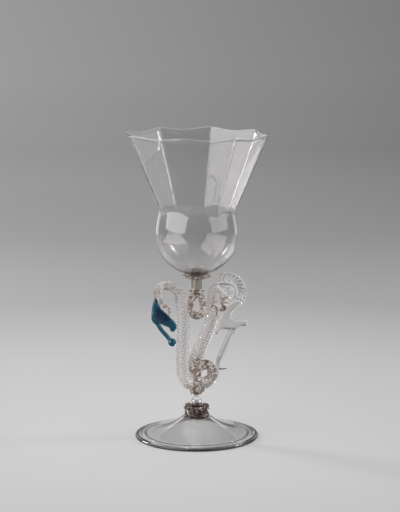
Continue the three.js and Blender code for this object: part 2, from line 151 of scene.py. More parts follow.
def add_ramp(tree: Tree, value: Socket, stops: Sequence[tuple[float, Point]]) -> Socket:
    """A colour that runs through stops of place and colour as a value rises.

    Args:
        tree: The material's or the world's node tree.
        value: The value that rises.
        stops: The places and their colours.

    Returns:
        The colour.
    """
    ramp = add_node(tree, "ValToRGB", {"Fac": value})
    elements = ramp.color_ramp.elements
    while len(elements) < len(stops):
        elements.new(1.0)
    for element, (place, colour) in zip(elements, stops):
        element.position = place
        element.color = (*colour, 1)
    return ramp.outputs["Color"]


def add_noise(tree: Tree, place: Socket, scale: float, detail: float) -> Socket:
    """A noise with this many waves per metre and octaves of finer noise."""
    return add_node(tree, "TexNoise", {"Vector": place, "Scale": scale, "Detail": detail}).outputs["Fac"]


def add_blend(tree: Tree, value: Socket, span: Share,
              colours: tuple[Socket, Socket | tuple[float, ...]]) -> Socket:
    """A colour that eases from one into another as a value runs over a span.

    Args:
        tree: The material's node tree.
        value: The value that runs.
        span: The values at which the blend starts and is done.
        colours: The colour before the span and the colour after it.

    Returns:
        The colour.
    """
    near = add_node(tree, "MapRange", {"Value": value, "From Min": span[0], "From Max": span[1]},
                    interpolation_type="SMOOTHSTEP").outputs["Result"]
    mixed = {"Factor": near, "A": colours[0], "B": colours[1]}
    return add_node(tree, "Mix", mixed, data_type="RGBA").outputs["Result"]


@dataclass(frozen=True)
class GlassFinish:
    """One kind of glass: its tint, the streaks in it, its depth colour and the waves of its surface; in some
    finishes the streaks and patches paint specks of glint and shade, and the ring paints a band of shade.
    """

    name: str
    slot: Slot
    tint: Point
    streak: Point
    streak_scale: float = 60.0
    streak_span: Share = (0.35, 0.75)
    roughness_low: float = 0.0
    roughness_high: float = 0.02
    ior: float = 1.5
    wave_scale: float = 90.0
    wave_height: float = 0.1
    depth_colour: Point | None = None
    depth_density: float = 0.0
    # Patches blend a second colour in near given places; several finishes use them to paint light and dark
    # specks for glints and shade, and the foot uses one to paint shade.
    patches: tuple[tuple[float, float, float, float], ...] = ()
    patch_tint: Point = (0.96, 0.92, 0.88)
    patch_streak: Point = (0.15, 0.09, 0.06)
    patch_scale: float = 480.0
    patch_span: Share = (0.48, 0.57)
    # A band between two radii about the axis, and its colour: painted shade along a folded rim.
    ring: Share | None = None
    rim_shade_tint: Point = (0.24, 0.22, 0.21)
    patch_core_share: float = 0.7
    streak_detail: float = 3.0
    polish_detail: float = 2.0
    wave_detail: float = 1.0

    def material(self) -> bpy.types.Material:
        """Builds the node material once and gives it back each time after that.

        Returns:
            The glass material.
        """
        made = bpy.data.materials.get(self.name)
        if made is not None:
            return made
        material = bpy.data.materials.new(self.name)
        material.use_nodes = True
        tree = material.node_tree
        glass = tree.nodes["Principled BSDF"]
        glass.inputs["IOR"].default_value = self.ior
        glass.inputs["Transmission Weight"].default_value = 1.0
        place = add_node(tree, "TexCoord").outputs["Object"]

        colour = self._streaked(tree, place, self.streak_scale, self.streak_span, (self.tint, self.streak))
        # Patches blend a second colour in near given places; in several finishes they paint specks of glint
        # and shade, or shade.
        if self.patches:
            tints = (self.patch_tint, self.patch_streak)
            patch_colour = self._streaked(tree, place, self.patch_scale, self.patch_span, tints)
            for x, y, z, radius in self.patches:
                colour = self._patched(tree, place, (colour, patch_colour), (x * MM, y * MM, z * MM), radius * MM)
        # The ring paints a dark band of shade along the foot's folded rim.
        if self.ring:
            colour = self._rim_shaded(tree, place, colour)
        tree.links.new(colour, glass.inputs["Base Color"])

        fine = add_noise(tree, place, self.wave_scale * 2, self.polish_detail)
        polish = add_node(tree, "MapRange",
                          {"Value": fine, "To Min": self.roughness_low, "To Max": self.roughness_high})
        tree.links.new(polish.outputs["Result"], glass.inputs["Roughness"])

        broad = add_noise(tree, place, self.wave_scale, self.wave_detail)
        waves = add_node(tree, "Bump", {"Height": broad, "Strength": self.wave_height, "Distance": MM})
        tree.links.new(waves.outputs["Normal"], glass.inputs["Normal"])

        if self.depth_colour:
            depth = add_node(tree, "VolumeAbsorption",
                             {"Color": (*self.depth_colour, 1), "Density": self.depth_density})
            tree.links.new(depth.outputs["Volume"], tree.nodes["Material Output"].inputs["Volume"])
        return material

    def _streaked(self, tree: Tree, place: Socket, scale: float, span: Share,
                  tints: tuple[Point, Point]) -> Socket:
        """A colour that runs between two tints through a noise.

        Args:
            tree: The material's node tree.
            place: The coordinates to read.
            scale: Streaks per metre.
            span: The noise's values at which the light tint ends and the dark one starts.
            tints: The light tint and the dark one.

        Returns:
            The colour.
        """
        return add_ramp(tree, add_noise(tree, place, scale, self.streak_detail), list(zip(span, tints)))

    def _patched(self, tree: Tree, place: Socket, colours: tuple[Socket, Socket], centre: Point,
                 radius: float) -> Socket:
        """Blends a second colour into the glass near one place; in several finishes it paints specks of glint
        and shade, or shade.

        Args:
            tree: The material's node tree.
            place: The coordinates to read.
            colours: The colour so far and the colour there.
            centre: The middle of the patch.
            radius: How far it reaches.

        Returns:
            The colour with the patch in it.
        """
        distance = add_node(tree, "VectorMath", {0: place, 1: centre}, operation="DISTANCE").outputs["Value"]
        return add_blend(tree, distance, (radius, radius * self.patch_core_share), colours)

    def _rim_shaded(self, tree: Tree, place: Socket, colour: Socket) -> Socket:
        """Paints a dark band of shade into the glass from one radius about the axis to the next, along a
        folded-over rim.

        Args:
            tree: The material's node tree.
            place: The coordinates to read.
            colour: The colour so far.

        Returns:
            The colour with the painted shade band in it.
        """
        level = add_node(tree, "VectorMath", {0: place, 1: (1, 1, 0)}, operation="MULTIPLY").outputs["Vector"]
        radius = add_node(tree, "VectorMath", {0: level}, operation="LENGTH").outputs["Value"]
        span = (self.ring[0] * MM, self.ring[1] * MM)
        return add_blend(tree, radius, span, (colour, (*self.rim_shade_tint, 1)))


CLEAR = GlassFinish("clear_blown_glass", Slot.CLEAR, (0.985, 0.985, 0.98), (0.97, 0.97, 0.965))
# Painted shade: a grey tint that darkens the clear rod's glass.
SHADED_ROD = GlassFinish("shaded_rod_glass", Slot.CLEAR, (0.72, 0.72, 0.715), (0.64, 0.64, 0.63))
WING = GlassFinish("pinched_wing_glass", Slot.CLEAR, (0.9, 0.9, 0.895), (0.84, 0.84, 0.83))
BOWL = GlassFinish("bowl_blown_glass", Slot.CLEAR, (0.93, 0.925, 0.925), (0.89, 0.885, 0.885),
                   wave_scale=28.0, wave_height=0.18, patches=((0.0, 0.0, 158.0, 46.0),),
                   patch_tint=(0.87, 0.865, 0.865), patch_streak=(0.83, 0.825, 0.825), patch_scale=60.0,
                   patch_span=(0.35, 0.75))
# Its patch paints brown specks of shade and light glints over the left serpent's arch.
ROPE = GlassFinish("twisted_rope_glass", Slot.ROPE, (0.84, 0.825, 0.815), (0.78, 0.76, 0.75),
                   patches=((-21.0, 0.0, 119.0, 17.0),), patch_tint=(0.84, 0.825, 0.815),
                   patch_streak=(0.4, 0.32, 0.27), patch_scale=320.0, patch_span=(0.5, 0.62))
# Its patches paint dark specks of shade and light glints over the coil and the upper curl.
KNOT = GlassFinish("knotted_rope_glass", Slot.WARM, (0.77, 0.745, 0.73), (0.7, 0.67, 0.655),
                   patches=((5.5, -3.0, 54.0, 14.0), (20.0, -3.0, 104.5, 11.0)),
                   patch_tint=(0.95, 0.89, 0.84), patch_streak=(0.09, 0.05, 0.03), patch_span=(0.47, 0.55))
# Painted shade: the darker olive tint shades the clear stem, and its patch paints dark specks of shade and
# light glints low on the stem.
STEM = GlassFinish("shaded_stem_glass", Slot.CLEAR, (0.47, 0.42, 0.36), (0.35, 0.3, 0.25),
                   patches=((0.0, -2.0, 113.5, 7.0),))
# Its patch paints dark specks of shade and light glints at one place on the comb.
COMB = GlassFinish("pincered_comb_glass", Slot.CLEAR, (0.87, 0.87, 0.865), (0.81, 0.81, 0.8),
                   patches=((18.0, 0.0, 126.5, 4.5),))
# Its streaks paint light and dark specks for glints and shade.
CURL = GlassFinish("speckled_curl_glass", Slot.CLEAR, (0.93, 0.88, 0.84), (0.4, 0.3, 0.24),
                   streak_scale=420.0, streak_span=(0.45, 0.57))
# The foot's ring paints a dark band of shade along its folded rim.
FOOT = GlassFinish("foot_blown_glass", Slot.CLEAR, (0.975, 0.97, 0.965), (0.955, 0.95, 0.945),
                   ring=(47.1, 47.8), rim_shade_tint=(0.1, 0.09, 0.085), patches=((0.0, 0.0, 16.5, 14.0),),
                   # Its patch paints shade into the glass round the top of the foot, under the collars.
                   patch_tint=(0.58, 0.54, 0.525), patch_streak=(0.5, 0.46, 0.445), patch_scale=60.0,
                   patch_span=(0.35, 0.75))
# Its streaks paint dark specks of shade and light glints over the glass's own warm depth colour.
WARM = GlassFinish("warm_knot_glass", Slot.WARM, (0.96, 0.92, 0.88), (0.13, 0.08, 0.05),
                   streak_scale=480.0, streak_span=(0.465, 0.555), depth_colour=(0.72, 0.6, 0.48),
                   depth_density=10.0)
# The collar glass is dark in its depth; its streaks paint dark specks of shade and light glints over it, and
# the foot ring's light specks are darker still.
DARK = GlassFinish("dark_collar_glass", Slot.DARK, (0.97, 0.9, 0.86), (0.05, 0.03, 0.02),
                   streak_scale=310.0, streak_span=(0.46, 0.515), wave_scale=220.0, wave_height=0.8,
                   depth_colour=(0.62, 0.44, 0.34), depth_density=45.0)
RING = replace(DARK, name="dark_foot_ring_glass", tint=(0.5, 0.41, 0.36))
BLUE = GlassFinish("deep_blue_glass", Slot.BLUE, (0.95, 0.98, 0.98), (0.8, 0.93, 0.97), wave_scale=160.0,
                   wave_height=0.7, depth_colour=(0.0, 0.79, 0.845), depth_density=3900.0,
                   patches=((-24.5, -3.0, 99.5, 8.5),), patch_tint=(0.4, 0.5, 0.62),
                   patch_streak=(0.12, 0.22, 0.36), patch_scale=150.0)
TEAL = GlassFinish("teal_blue_glass", Slot.BLUE, (0.95, 0.98, 0.98), (0.8, 0.93, 0.97), wave_scale=160.0,
                   wave_height=0.4, depth_colour=(0.0, 0.79, 0.83), depth_density=1700.0,
                   patches=((-24.5, -3.0, 89.0, 12.5),), patch_tint=(0.16, 0.5, 0.58),
                   patch_streak=(0.1, 0.38, 0.46), patch_scale=150.0, patch_span=(0.35, 0.75))


def smooth_route(points: Sequence[Point], steps: int, closed: bool = False) -> Array:
    """A centripetal Catmull-Rom curve through points, sampled at even distances.

    Args:
        points: The points that the curve passes through.
        steps: How many spans the samples make.
        closed: Whether the curve comes back to its first point.

    Returns:
        The samples, one row each: steps rows if closed, and one more if not.
    """
    base = np.asarray(points, float)
    if closed:
        padded = np.vstack([base[-1:], base, base[:2]])
    else:
        padded = np.vstack([2 * base[0] - base[1], base, 2 * base[-1] - base[-2]])
    fine = []
    share = np.linspace(0, 1, 24, endpoint=False)[:, None]
    for before, start, end, after in zip(padded, padded[1:], padded[2:], padded[3:]):
        span_a = np.linalg.norm(start - before) ** 0.5
        span_b = np.linalg.norm(end - start) ** 0.5
        span_c = np.linalg.norm(after - end) ** 0.5
        leave = (start - before) / span_a - (end - before) / (span_a + span_b) + (end - start) / span_b
        reach = (end - start) / span_b - (after - start) / (span_b + span_c) + (after - end) / span_c
        leave, reach = leave * span_b, reach * span_b
        square, cube = share ** 2, share ** 3
        fine.append(start + leave * share + (3 * (end - start) - 2 * leave - reach) * square
                    + (2 * (start - end) + leave + reach) * cube)
    curve = np.vstack([*fine, base[:1] if closed else base[-1:]])
    along = np.concatenate([[0], np.cumsum(np.linalg.norm(np.diff(curve, axis=0), axis=1))])
    places = np.linspace(0, along[-1], steps + 1)
    samples = np.column_stack([np.interp(places, along, curve[:, k]) for k in range(3)])
    return samples[:-1] if closed else samples


def transport_frames(route: Array, closed: bool) -> tuple[Array, Array]:
    """Side directions along a route that turn no more than the route does.

    Args:
        route: The route's samples.
        closed: Whether the route is closed.

    Returns:
        Two unit vectors for each sample, square to the route and to each other.
    """
    if closed:
        tangents = np.roll(route, -1, axis=0) - np.roll(route, 1, axis=0)
    else:
        tangents = np.gradient(route, axis=0)
    tangents /= np.linalg.norm(tangents, axis=1)[:, None]
    start = np.cross(tangents[0], (0, 1, 0))
    side = start / np.linalg.norm(start)
    sides = []
    for tangent in tangents:
        side = side - tangent * np.dot(side, tangent)
        side = side / np.linalg.norm(side)
        sides.append(side)
    sides = np.array(sides)
    others = np.cross(tangents, sides)
    if closed:
        last = sides[-1] - tangents[0] * np.dot(sides[-1], tangents[0])
        slip = math.atan2(np.dot(last, others[0]), np.dot(last, sides[0]))
        angles = -slip * np.linspace(0, 1, len(route), endpoint=False)[:, None]
        sides, others = (sides * np.cos(angles) + others * np.sin(angles),
                         others * np.cos(angles) - sides * np.sin(angles))
    return sides, others


def grid_faces(rows: int, columns: int, joined: bool) -> list[tuple[int, ...]]:
    """Faces over rings of points, each ring closed on itself.

    Args:
        rows: How many rings.
        columns: Points in a ring.
        joined: Whether the last ring meets the first.

    Returns:
        The quads, and an end face at each end unless the rings are joined.
    """
    faces: list[tuple[int, ...]] = []
    for i in range(rows if joined else rows - 1):
        a = i * columns
        b = ((i + 1) % rows) * columns
        for j in range(columns):
            k = (j + 1) % columns
            faces.append((a + j, a + k, b + k, b + j))
    if not joined:
        faces.append(tuple(reversed(range(columns))))
        faces.append(tuple(range((rows - 1) * columns, rows * columns)))
    return faces


def swept(route: Array, radii: Radii, sides: int, ends: Ends = Ends.ROUND,
          ribs: int = 0, rib_depth: float = 0.0, lead: float = 1.0) -> Shape:
    """A rod of glass along a route, with twisted ribs if it is a rope.

    Args:
        route: The route's samples.
        radii: Gives the radius at each share of the way along.
        sides: Points round the rod.
        ends: How the rod ends.
        ribs: How many ribs wind round it.
        rib_depth: How far the furrows between the ribs reach in.
        lead: The length over which a rib winds once round.

    Returns:
        The points and faces.
    """
    closed = ends is Ends.JOINED
    normal, other = transport_frames(route, closed)
    along = np.concatenate([[0], np.cumsum(np.linalg.norm(np.diff(route, axis=0), axis=1))])
    length = along[-1] + (np.linalg.norm(route[0] - route[-1]) if closed else 0)
    reach = radii(along / length)
    if ends is Ends.ROUND:
        for distance in (along, length - along):
            near = np.clip(distance / reach, 0, 1)
            reach = reach * np.maximum(np.sqrt(1 - (1 - near) ** 2), LEAST_RADIUS)
    turns = math.ceil(length / lead) if closed else length / lead
    turn = FULL_TURN * turns * along / length if ribs else np.zeros(len(route))
    angles = FULL_TURN * np.arange(sides) / sides
    furrow = rib_depth * (1 - np.abs(np.cos(ribs * angles / 2))) if ribs else np.zeros(sides)
    shallow = np.minimum(1, reach / (3 * max(rib_depth, LEAST_RIB)))
    depth = np.maximum(reach[:, None] - furrow[None, :] * shallow[:, None], LEAST_RADIUS)
    spin = angles[None, :] + turn[:, None]
    points = (route[:, None, :] + normal[:, None, :] * (depth * np.cos(spin))[:, :, None]
              + other[:, None, :] * (depth * np.sin(spin))[:, :, None])
    return points.reshape(-1, 3), grid_faces(len(route), sides, closed)


def turned(profile: Sequence[Share], around: int | Array, shaping: Shaping | None = None) -> Shape:
    """A turned solid about +Z.

    Args:
        profile: Radius and height pairs, up the outside from the axis and back to the axis.
        around: How many points lie round the axis, or their angles where they aren't even.
        shaping: Moves the points, given their angles, radii and heights.

    Returns:
        The points and faces.
    """
    rows = np.asarray(profile, float)
    rows = rows[rows[:, 0] > 0]
    angles = around if isinstance(around, Array) else FULL_TURN * np.arange(around) / around
    angle, radius = np.meshgrid(angles, rows[:, 0])
    height = np.repeat(rows[:, 1][:, None], len(angles), axis=1)
    if shaping:
        radius, height = shaping(angle, radius, height)
    points = np.stack([radius * np.cos(angle), radius * np.sin(angle), height], axis=-1)
    return points.reshape(-1, 3), grid_faces(len(rows), len(angles), False)


def arc(centre: Share, radii: Share, start: float, end: float, steps: int) -> list[Share]:
    """Points on an ellipse.

    Args:
        centre: The ellipse's centre, as radius and height.
        radii: Its half-width and half-height.
        start: The first angle.
        end: The last angle.
        steps: How many spans.

    Returns:
        Radius and height pairs.
    """
    angles = np.linspace(start, end, steps + 1)
    return [(centre[0] + radii[0] * math.cos(a), centre[1] + radii[1] * math.sin(a)) for a in angles]


def smooth_step(value: Array | float, low: float, high: float) -> Array:
    """Rises smoothly from 0 at low to 1 at high."""
    share = np.clip((value - low) / (high - low), 0, 1)
    return share * share * (3 - 2 * share)


def at_shares(rows: Sequence[Share]) -> Radii:
    """A radius for each share of the way along, eased between rows of share and radius.

    Args:
        rows: Pairs of share and radius, from 0 to 1.

    Returns:
        A function that gives the radius at each share.
    """
    def radius(share: Array) -> Array:
        """The eased radius at each share."""
        value = np.full_like(share, rows[0][1])
        for (low, start), (high, end) in zip(rows, rows[1:]):
            value = np.where(share > low, start + (end - start) * smooth_step(share, low, high), value)
        return value
    return radius


def disc(radius: float, height: float, rings: int) -> list[Share]:
    """Rings of a level face at a height, from the axis out to a radius."""
    return [(r, height) for r in np.linspace(AXIS_RADIUS, radius, rings)]


def even(radius: float) -> Radii:
    """The same radius all the way along."""
    return lambda share: np.full_like(share, radius)


def make(name: str, shape: Shape) -> Piece:
    """Makes an object of points in millimetres.

    Args:
        name: The object's name.
        shape: The points and faces.

    Returns:
        The object, smooth shaded, in the scene.
    """
    points, faces = shape
    mesh = bpy.data.meshes.new(name)
    mesh.from_pydata((points * MM).tolist(), [], faces)
    mesh.validate()
    mesh.update()
    piece = add_object(name, mesh)
    smooth(piece)
    return piece


def smooth(piece: Piece) -> None:
    """Shades a piece smooth, with a crease at its sharp edges."""
    piece.data.shade_smooth()
    piece.data.set_sharp_from_angle(angle=CREASE_ANGLE)


def evaluated_mesh(piece: Piece) -> bpy.types.Mesh:
    """A new mesh of an object as its modifiers, or its fill and bevel, leave it."""
    depsgraph = bpy.context.evaluated_depsgraph_get()
    return bpy.data.meshes.new_from_object(piece.evaluated_get(depsgraph))


def vertex_rows(mesh: bpy.types.Mesh, kind: str) -> Array:
    """What a mesh's vertices hold, one row of three numbers each.

    Args:
        mesh: The mesh.
        kind: "co" for their places or "normal" for their normals.

    Returns:
        The rows.
    """
    values = np.zeros(len(mesh.vertices) * 3)
    mesh.vertices.foreach_get(kind, values)
    return values.reshape(-1, 3)


def bake_modifiers(piece: Piece) -> None:
    """Puts the result of a piece's modifiers into its mesh.

    Args:
        piece: The piece.
    """
    mesh = evaluated_mesh(piece)
    old = piece.data
    piece.modifiers.clear()
    piece.data = mesh
    bpy.data.meshes.remove(old)
    smooth(piece)


def remove(piece: Piece) -> None:
    """Takes a helper object and its mesh away.

    Args:
        piece: The helper object.
    """
    mesh = piece.data
    bpy.data.objects.remove(piece)
    bpy.data.meshes.remove(mesh)


def grown(piece: Piece, by: float = SEAT_GAP) -> Piece:
    """A copy of a piece with its surface moved out, for cutting its neighbours.

    Args:
        piece: The piece.
        by: How far the surface moves, in millimetres.

    Returns:
        The copy.
    """
    mesh = piece.data.copy()
    places = vertex_rows(mesh, "co") + vertex_rows(mesh, "normal") * by * MM
    mesh.vertices.foreach_set("co", places.ravel())
    mesh.update()
    return add_object(piece.name + "_tool", mesh)


def carve(piece: Piece, *tools: Piece) -> None:
    """Cuts tools out of a piece.

    Args:
        piece: The piece to cut.
        tools: The solids that its neighbours fill.
    """
    for tool in tools:
        cutter = piece.modifiers.new("cut", "BOOLEAN")
        cutter.operation = "DIFFERENCE"
        cutter.solver = "MANIFOLD"
        cutter.object = tool
    bake_modifiers(piece)


def fused(piece: Piece, voxel: float, rounds: int) -> None:
    """Melts a piece's parts into one skin and softens it.

    Args:
        piece: The piece.
        voxel: The size of the new skin's squares, in millimetres.
        rounds: How many times the skin is smoothed.
    """
    skin = piece.modifiers.new("skin", "REMESH")
    skin.mode = "VOXEL"
    skin.voxel_size = voxel * MM
    soften = piece.modifiers.new("soften", "SMOOTH")
    soften.factor = SOFTENING
    soften.iterations = rounds
    bake_modifiers(piece)


def together(*shapes: Shape) -> Shape:
    """Several shapes as one list of points and faces.

    Args:
        shapes: The shapes.

    Returns:
        All their points and faces.
    """
    points: list[Array] = []
    faces: list[tuple[int, ...]] = []
    count = 0
    for more_points, more_faces in shapes:
        points.append(more_points)
        faces.extend(tuple(k + count for k in face) for face in more_faces)
        count += len(more_points)
    return np.vstack(points), faces


def ball(centre: Array, radius: float, rings: int = 24) -> Shape:
    """A ball of glass.

    Args:
        centre: Its centre.
        radius: Its radius.
        rings: How many rings of points it has.

    Returns:
        The points and faces.
    """
    sweep = RIGHT_ANGLE * POLE_SHARE
    profile = arc((0, 0), (radius, radius), -sweep, sweep, rings)
    points, faces = turned(profile, 2 * rings)
    return points + centre, faces


def plane_points(shares: Sequence[Share], width: float, height: float, anchor: Array | Point) -> list[Point]:
    """Points beside and above an anchor, from shares of a width and a height."""
    return [(anchor[0] + x * width, anchor[1], anchor[2] + z * height) for x, z in shares]


def closed_outline(shares: Sequence[Share], width: float, height: float, anchor: Array, steps: int) -> Array:
    """A smooth closed outline in the XZ plane through shares of a width and a height.

    Args:
        shares: The points, as shares.
        width: The size that the first share is of.
        height: The size that the second share is of.
        anchor: Where the shares are measured from.
        steps: How many points the outline gets.

    Returns:
        X and Z pairs.
    """
    return smooth_route(plane_points(shares, width, height, anchor), steps, True)[:, (0, 2)]


def slab(name: str, outline: Array, thickness: float, depth: float, rounding: float, crown: float) -> Piece:
    """A plate of glass over an outline, melted round at its edges and crowned on both faces.

    Args:
        name: The object's name.
        outline: X and Z pairs.
        thickness: The plate's thickness.
        depth: The Y of its middle.
        rounding: The radius of its edges.
        crown: How far in from the outline the faces reach their full thickness.

    Returns:
        The object.
    """
    curve = bpy.data.curves.new(name, "CURVE")
    curve.dimensions = "2D"
    curve.fill_mode = "BOTH"
    curve.extrude = (thickness / 2 - rounding) * MM
    curve.bevel_depth = rounding * MM
    curve.bevel_resolution = 4
    curve.offset = -rounding * MM
    spline = curve.splines.new("POLY")
    spline.points.add(len(outline) - 1)
    for point, (x, z) in zip(spline.points, outline):
        point.co = (x * MM, z * MM, 0, 1)
    spline.use_cyclic_u = True
    helper = add_object(name + "_outline", curve)
    mesh = evaluated_mesh(helper)
    bpy.data.objects.remove(helper)
    bpy.data.curves.remove(curve)
    piece = add_object(name, mesh)
    weld = piece.modifiers.new("weld", "WELD")
    weld.merge_threshold = PLATE_WELD * MM
    fused(piece, PLATE_SKIN, 4)
    flat = vertex_rows(piece.data, "co")
    inset = distance_to_outline(flat[:, :2] / MM, outline)
    dome = np.sqrt(1 - (1 - np.clip(inset / crown, 0, 1)) ** 2)
    least = 2 * rounding / thickness
    across = flat[:, 2] * np.minimum(1, least + (1 - least) * dome)
    upright = np.column_stack([flat[:, 0], depth * MM - across, flat[:, 1]])
    piece.data.vertices.foreach_set("co", upright.ravel())
    piece.data.update()
    smooth(piece)
    return piece


def distance_to_outline(points: Array, outline: Array) -> Array:
    """How far each point lies from an outline.

    Args:
        points: Pairs.
        outline: The closed outline's pairs.

    Returns:
        A distance for each point.
    """
    spans = np.roll(outline, -1, axis=0) - outline
    lengths = np.maximum((spans ** 2).sum(axis=1), 1e-9)
    offsets = points[:, None, :] - outline[None, :, :]
    share = np.clip((offsets * spans[None]).sum(axis=2) / lengths[None], 0, 1)
    gaps = offsets - share[:, :, None] * spans[None]
    return np.sqrt((gaps ** 2).sum(axis=2)).min(axis=1)


def dress(piece: Piece, node: str, finish: GlassFinish) -> None:
    """Gives a piece its glass, seats it on the body and lets it stand for its node.

    Args:
        piece: The finished mesh.
        node: The node that it stands for.
        finish: Its glass.
    """
    piece.data.materials.clear()
    piece.data.materials.append(finish.material())
    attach(piece, BODY)
    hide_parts(node)
    LOG.info("%s stands for %s with %d faces", piece.name, node, len(piece.data.polygons))


def level_of(node: str) -> float:
    """The height of a node's lowest point, in millimetres."""
    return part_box(node)[0].z / MM


def top_of(node: str) -> float:
    """The height of a node's highest point, in millimetres."""
    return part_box(node)[1].z / MM


def glass_levels(node: str) -> tuple[float, float]:
    """The lowest and highest level of a node's glass, a little inside the node's own."""
    return level_of(node) + LEVEL_GAP, top_of(node) - LEVEL_GAP


@dataclass
class Foot:
    """The hollow conical foot with its rounded rim."""

    radius: float = 48.5
    neck_radius: float = 9.9
    wall: float = 1.5
    rim_height: float = 2.4
    crown_thickness: float = 1.6
    slope_share: float = 0.42
    slope_power: float = 3.2
    fold_width: float = 4.4
    fold_gap: float = 0.35
    fold_thickness: float = 0.5
    fold_lift: float = 0.1
    fold_bulge: float = 0.12
    fold_reach_share: float = 0.45
    rim_start_share: float = 2.2
    rim_sweep_share: float = 1.7
    bevel: float = 0.5
    blend: float = 1.0
    crease_radius: float = 40.0
    crease_depth: float = 0.55
    crease_width: float = 0.6

    def surface(self, radius: float, height: float) -> float:
        """The height of the upper surface at a radius.

        Args:
            radius: The distance from the axis.
            height: The foot's height.

        Returns:
            The surface's height there.
        """
        inward = (self.radius - radius) / (self.radius - self.neck_radius)
        rise = self.slope_share * inward + (1 - self.slope_share) * inward ** self.slope_power
        return self.rim_height + (height - self.rim_height) * rise

    def crease(self, radius: float) -> float:
        """How far the fold's inner edge hangs below the under surface at a radius."""
        return self.crease_depth * math.exp(-((radius - self.crease_radius) / self.crease_width) ** 2)

    def build(self) -> None:
        """Builds the foot and dresses it."""
        height = top_of("foot")
        edge = self.rim_height / 2
        radii = np.linspace(self.neck_radius, self.radius - self.rim_start_share * edge, 150)
        lip = self.radius - self.fold_width
        crown = height - self.crown_thickness
        under = disc(self.neck_radius - self.blend, crown, 6)
        inside = [(r, min(self.surface(r, height) - self.wall, crown) - self.crease(r)) for r in radii
                  if r < lip - self.blend]
        reach = self.radius - self.fold_reach_share * edge
        half = self.fold_thickness / 2
        level = self.fold_thickness + self.fold_gap
        fold = [(lip, level), (reach, level + self.fold_lift),
                (reach + self.fold_bulge, level - self.fold_gap / 2), (reach, self.fold_thickness)]
        fold += arc((lip, half), (half, half), RIGHT_ANGLE, 3 * RIGHT_ANGLE, 8)
        sweep = RIGHT_ANGLE * self.rim_sweep_share
        rim = arc((self.radius - edge, edge), (edge, edge), -RIGHT_ANGLE, sweep, 22)
        outside = [(r, self.surface(r, height)) for r in reversed(radii)]
        top = disc(self.neck_radius - self.bevel, height, 6)[::-1]
        shape = turned([*under, *inside, *fold, *rim, *outside[1:], *top], 192)
        dress(make("foot_glass", shape), "foot", FOOT)


@dataclass
class Collar:
    """A wound ring of glass with lobes pinched into its edge."""

    name: str
    node: str
    radius: float
    finish: GlassFinish
    threads: int = 1
    lobes: int = 0
    lobe_depth: float = 0.0
    lobe_lean: float = 0.0
    thread_inset_share: float = 0.25
    thread_height_share: float = 0.98
    thread_sweep_share: float = 0.94
    shoulder_share: float = 1.3
    lobe_variety: float = 0.3

    def build(self) -> None:
        """Builds the ring between its node's levels and dresses it."""
        low, high = glass_levels(self.node)
        edge = (high - low) / 2 / self.threads
        sweep = RIGHT_ANGLE * self.thread_sweep_share
        rim = []
        for k in range(self.threads):
            centre = (self.radius - edge * (1 + self.thread_inset_share * (k % 2)), low + edge * (2 * k + 1))
            rim += arc(centre, (edge, edge * self.thread_height_share), -sweep, sweep, 14)
        shoulder = self.radius - self.shoulder_share * edge
        profile = [*disc(shoulder, low, 6)[:-1], *rim, *disc(shoulder, high, 6)[-2::-1]]

        def shaping(angle: Array, radius: Array, height: Array) -> tuple[Array, Array]:
            """Pinches the lobes, leaning them a little and giving each its own size.

            Args:
                angle: The points' angles.
                radius: Their radii.
                height: Their heights.

            Returns:
                The new radii and heights.
            """
            lean = self.lobe_lean * (height - low) / edge
            beat = 0.5 - 0.5 * np.cos(self.lobes * (angle + lean))
            unlike = 1 - self.lobe_variety * (1 - np.sin(3 * angle + self.radius + height))
            near_edge = np.clip(radius / self.radius, 0, 1) ** 3
            return radius - self.lobe_depth * beat * unlike * near_edge, height

        shape = turned(profile, 192, shaping if self.lobes else None)
        dress(make(self.name, shape), self.node, self.finish)


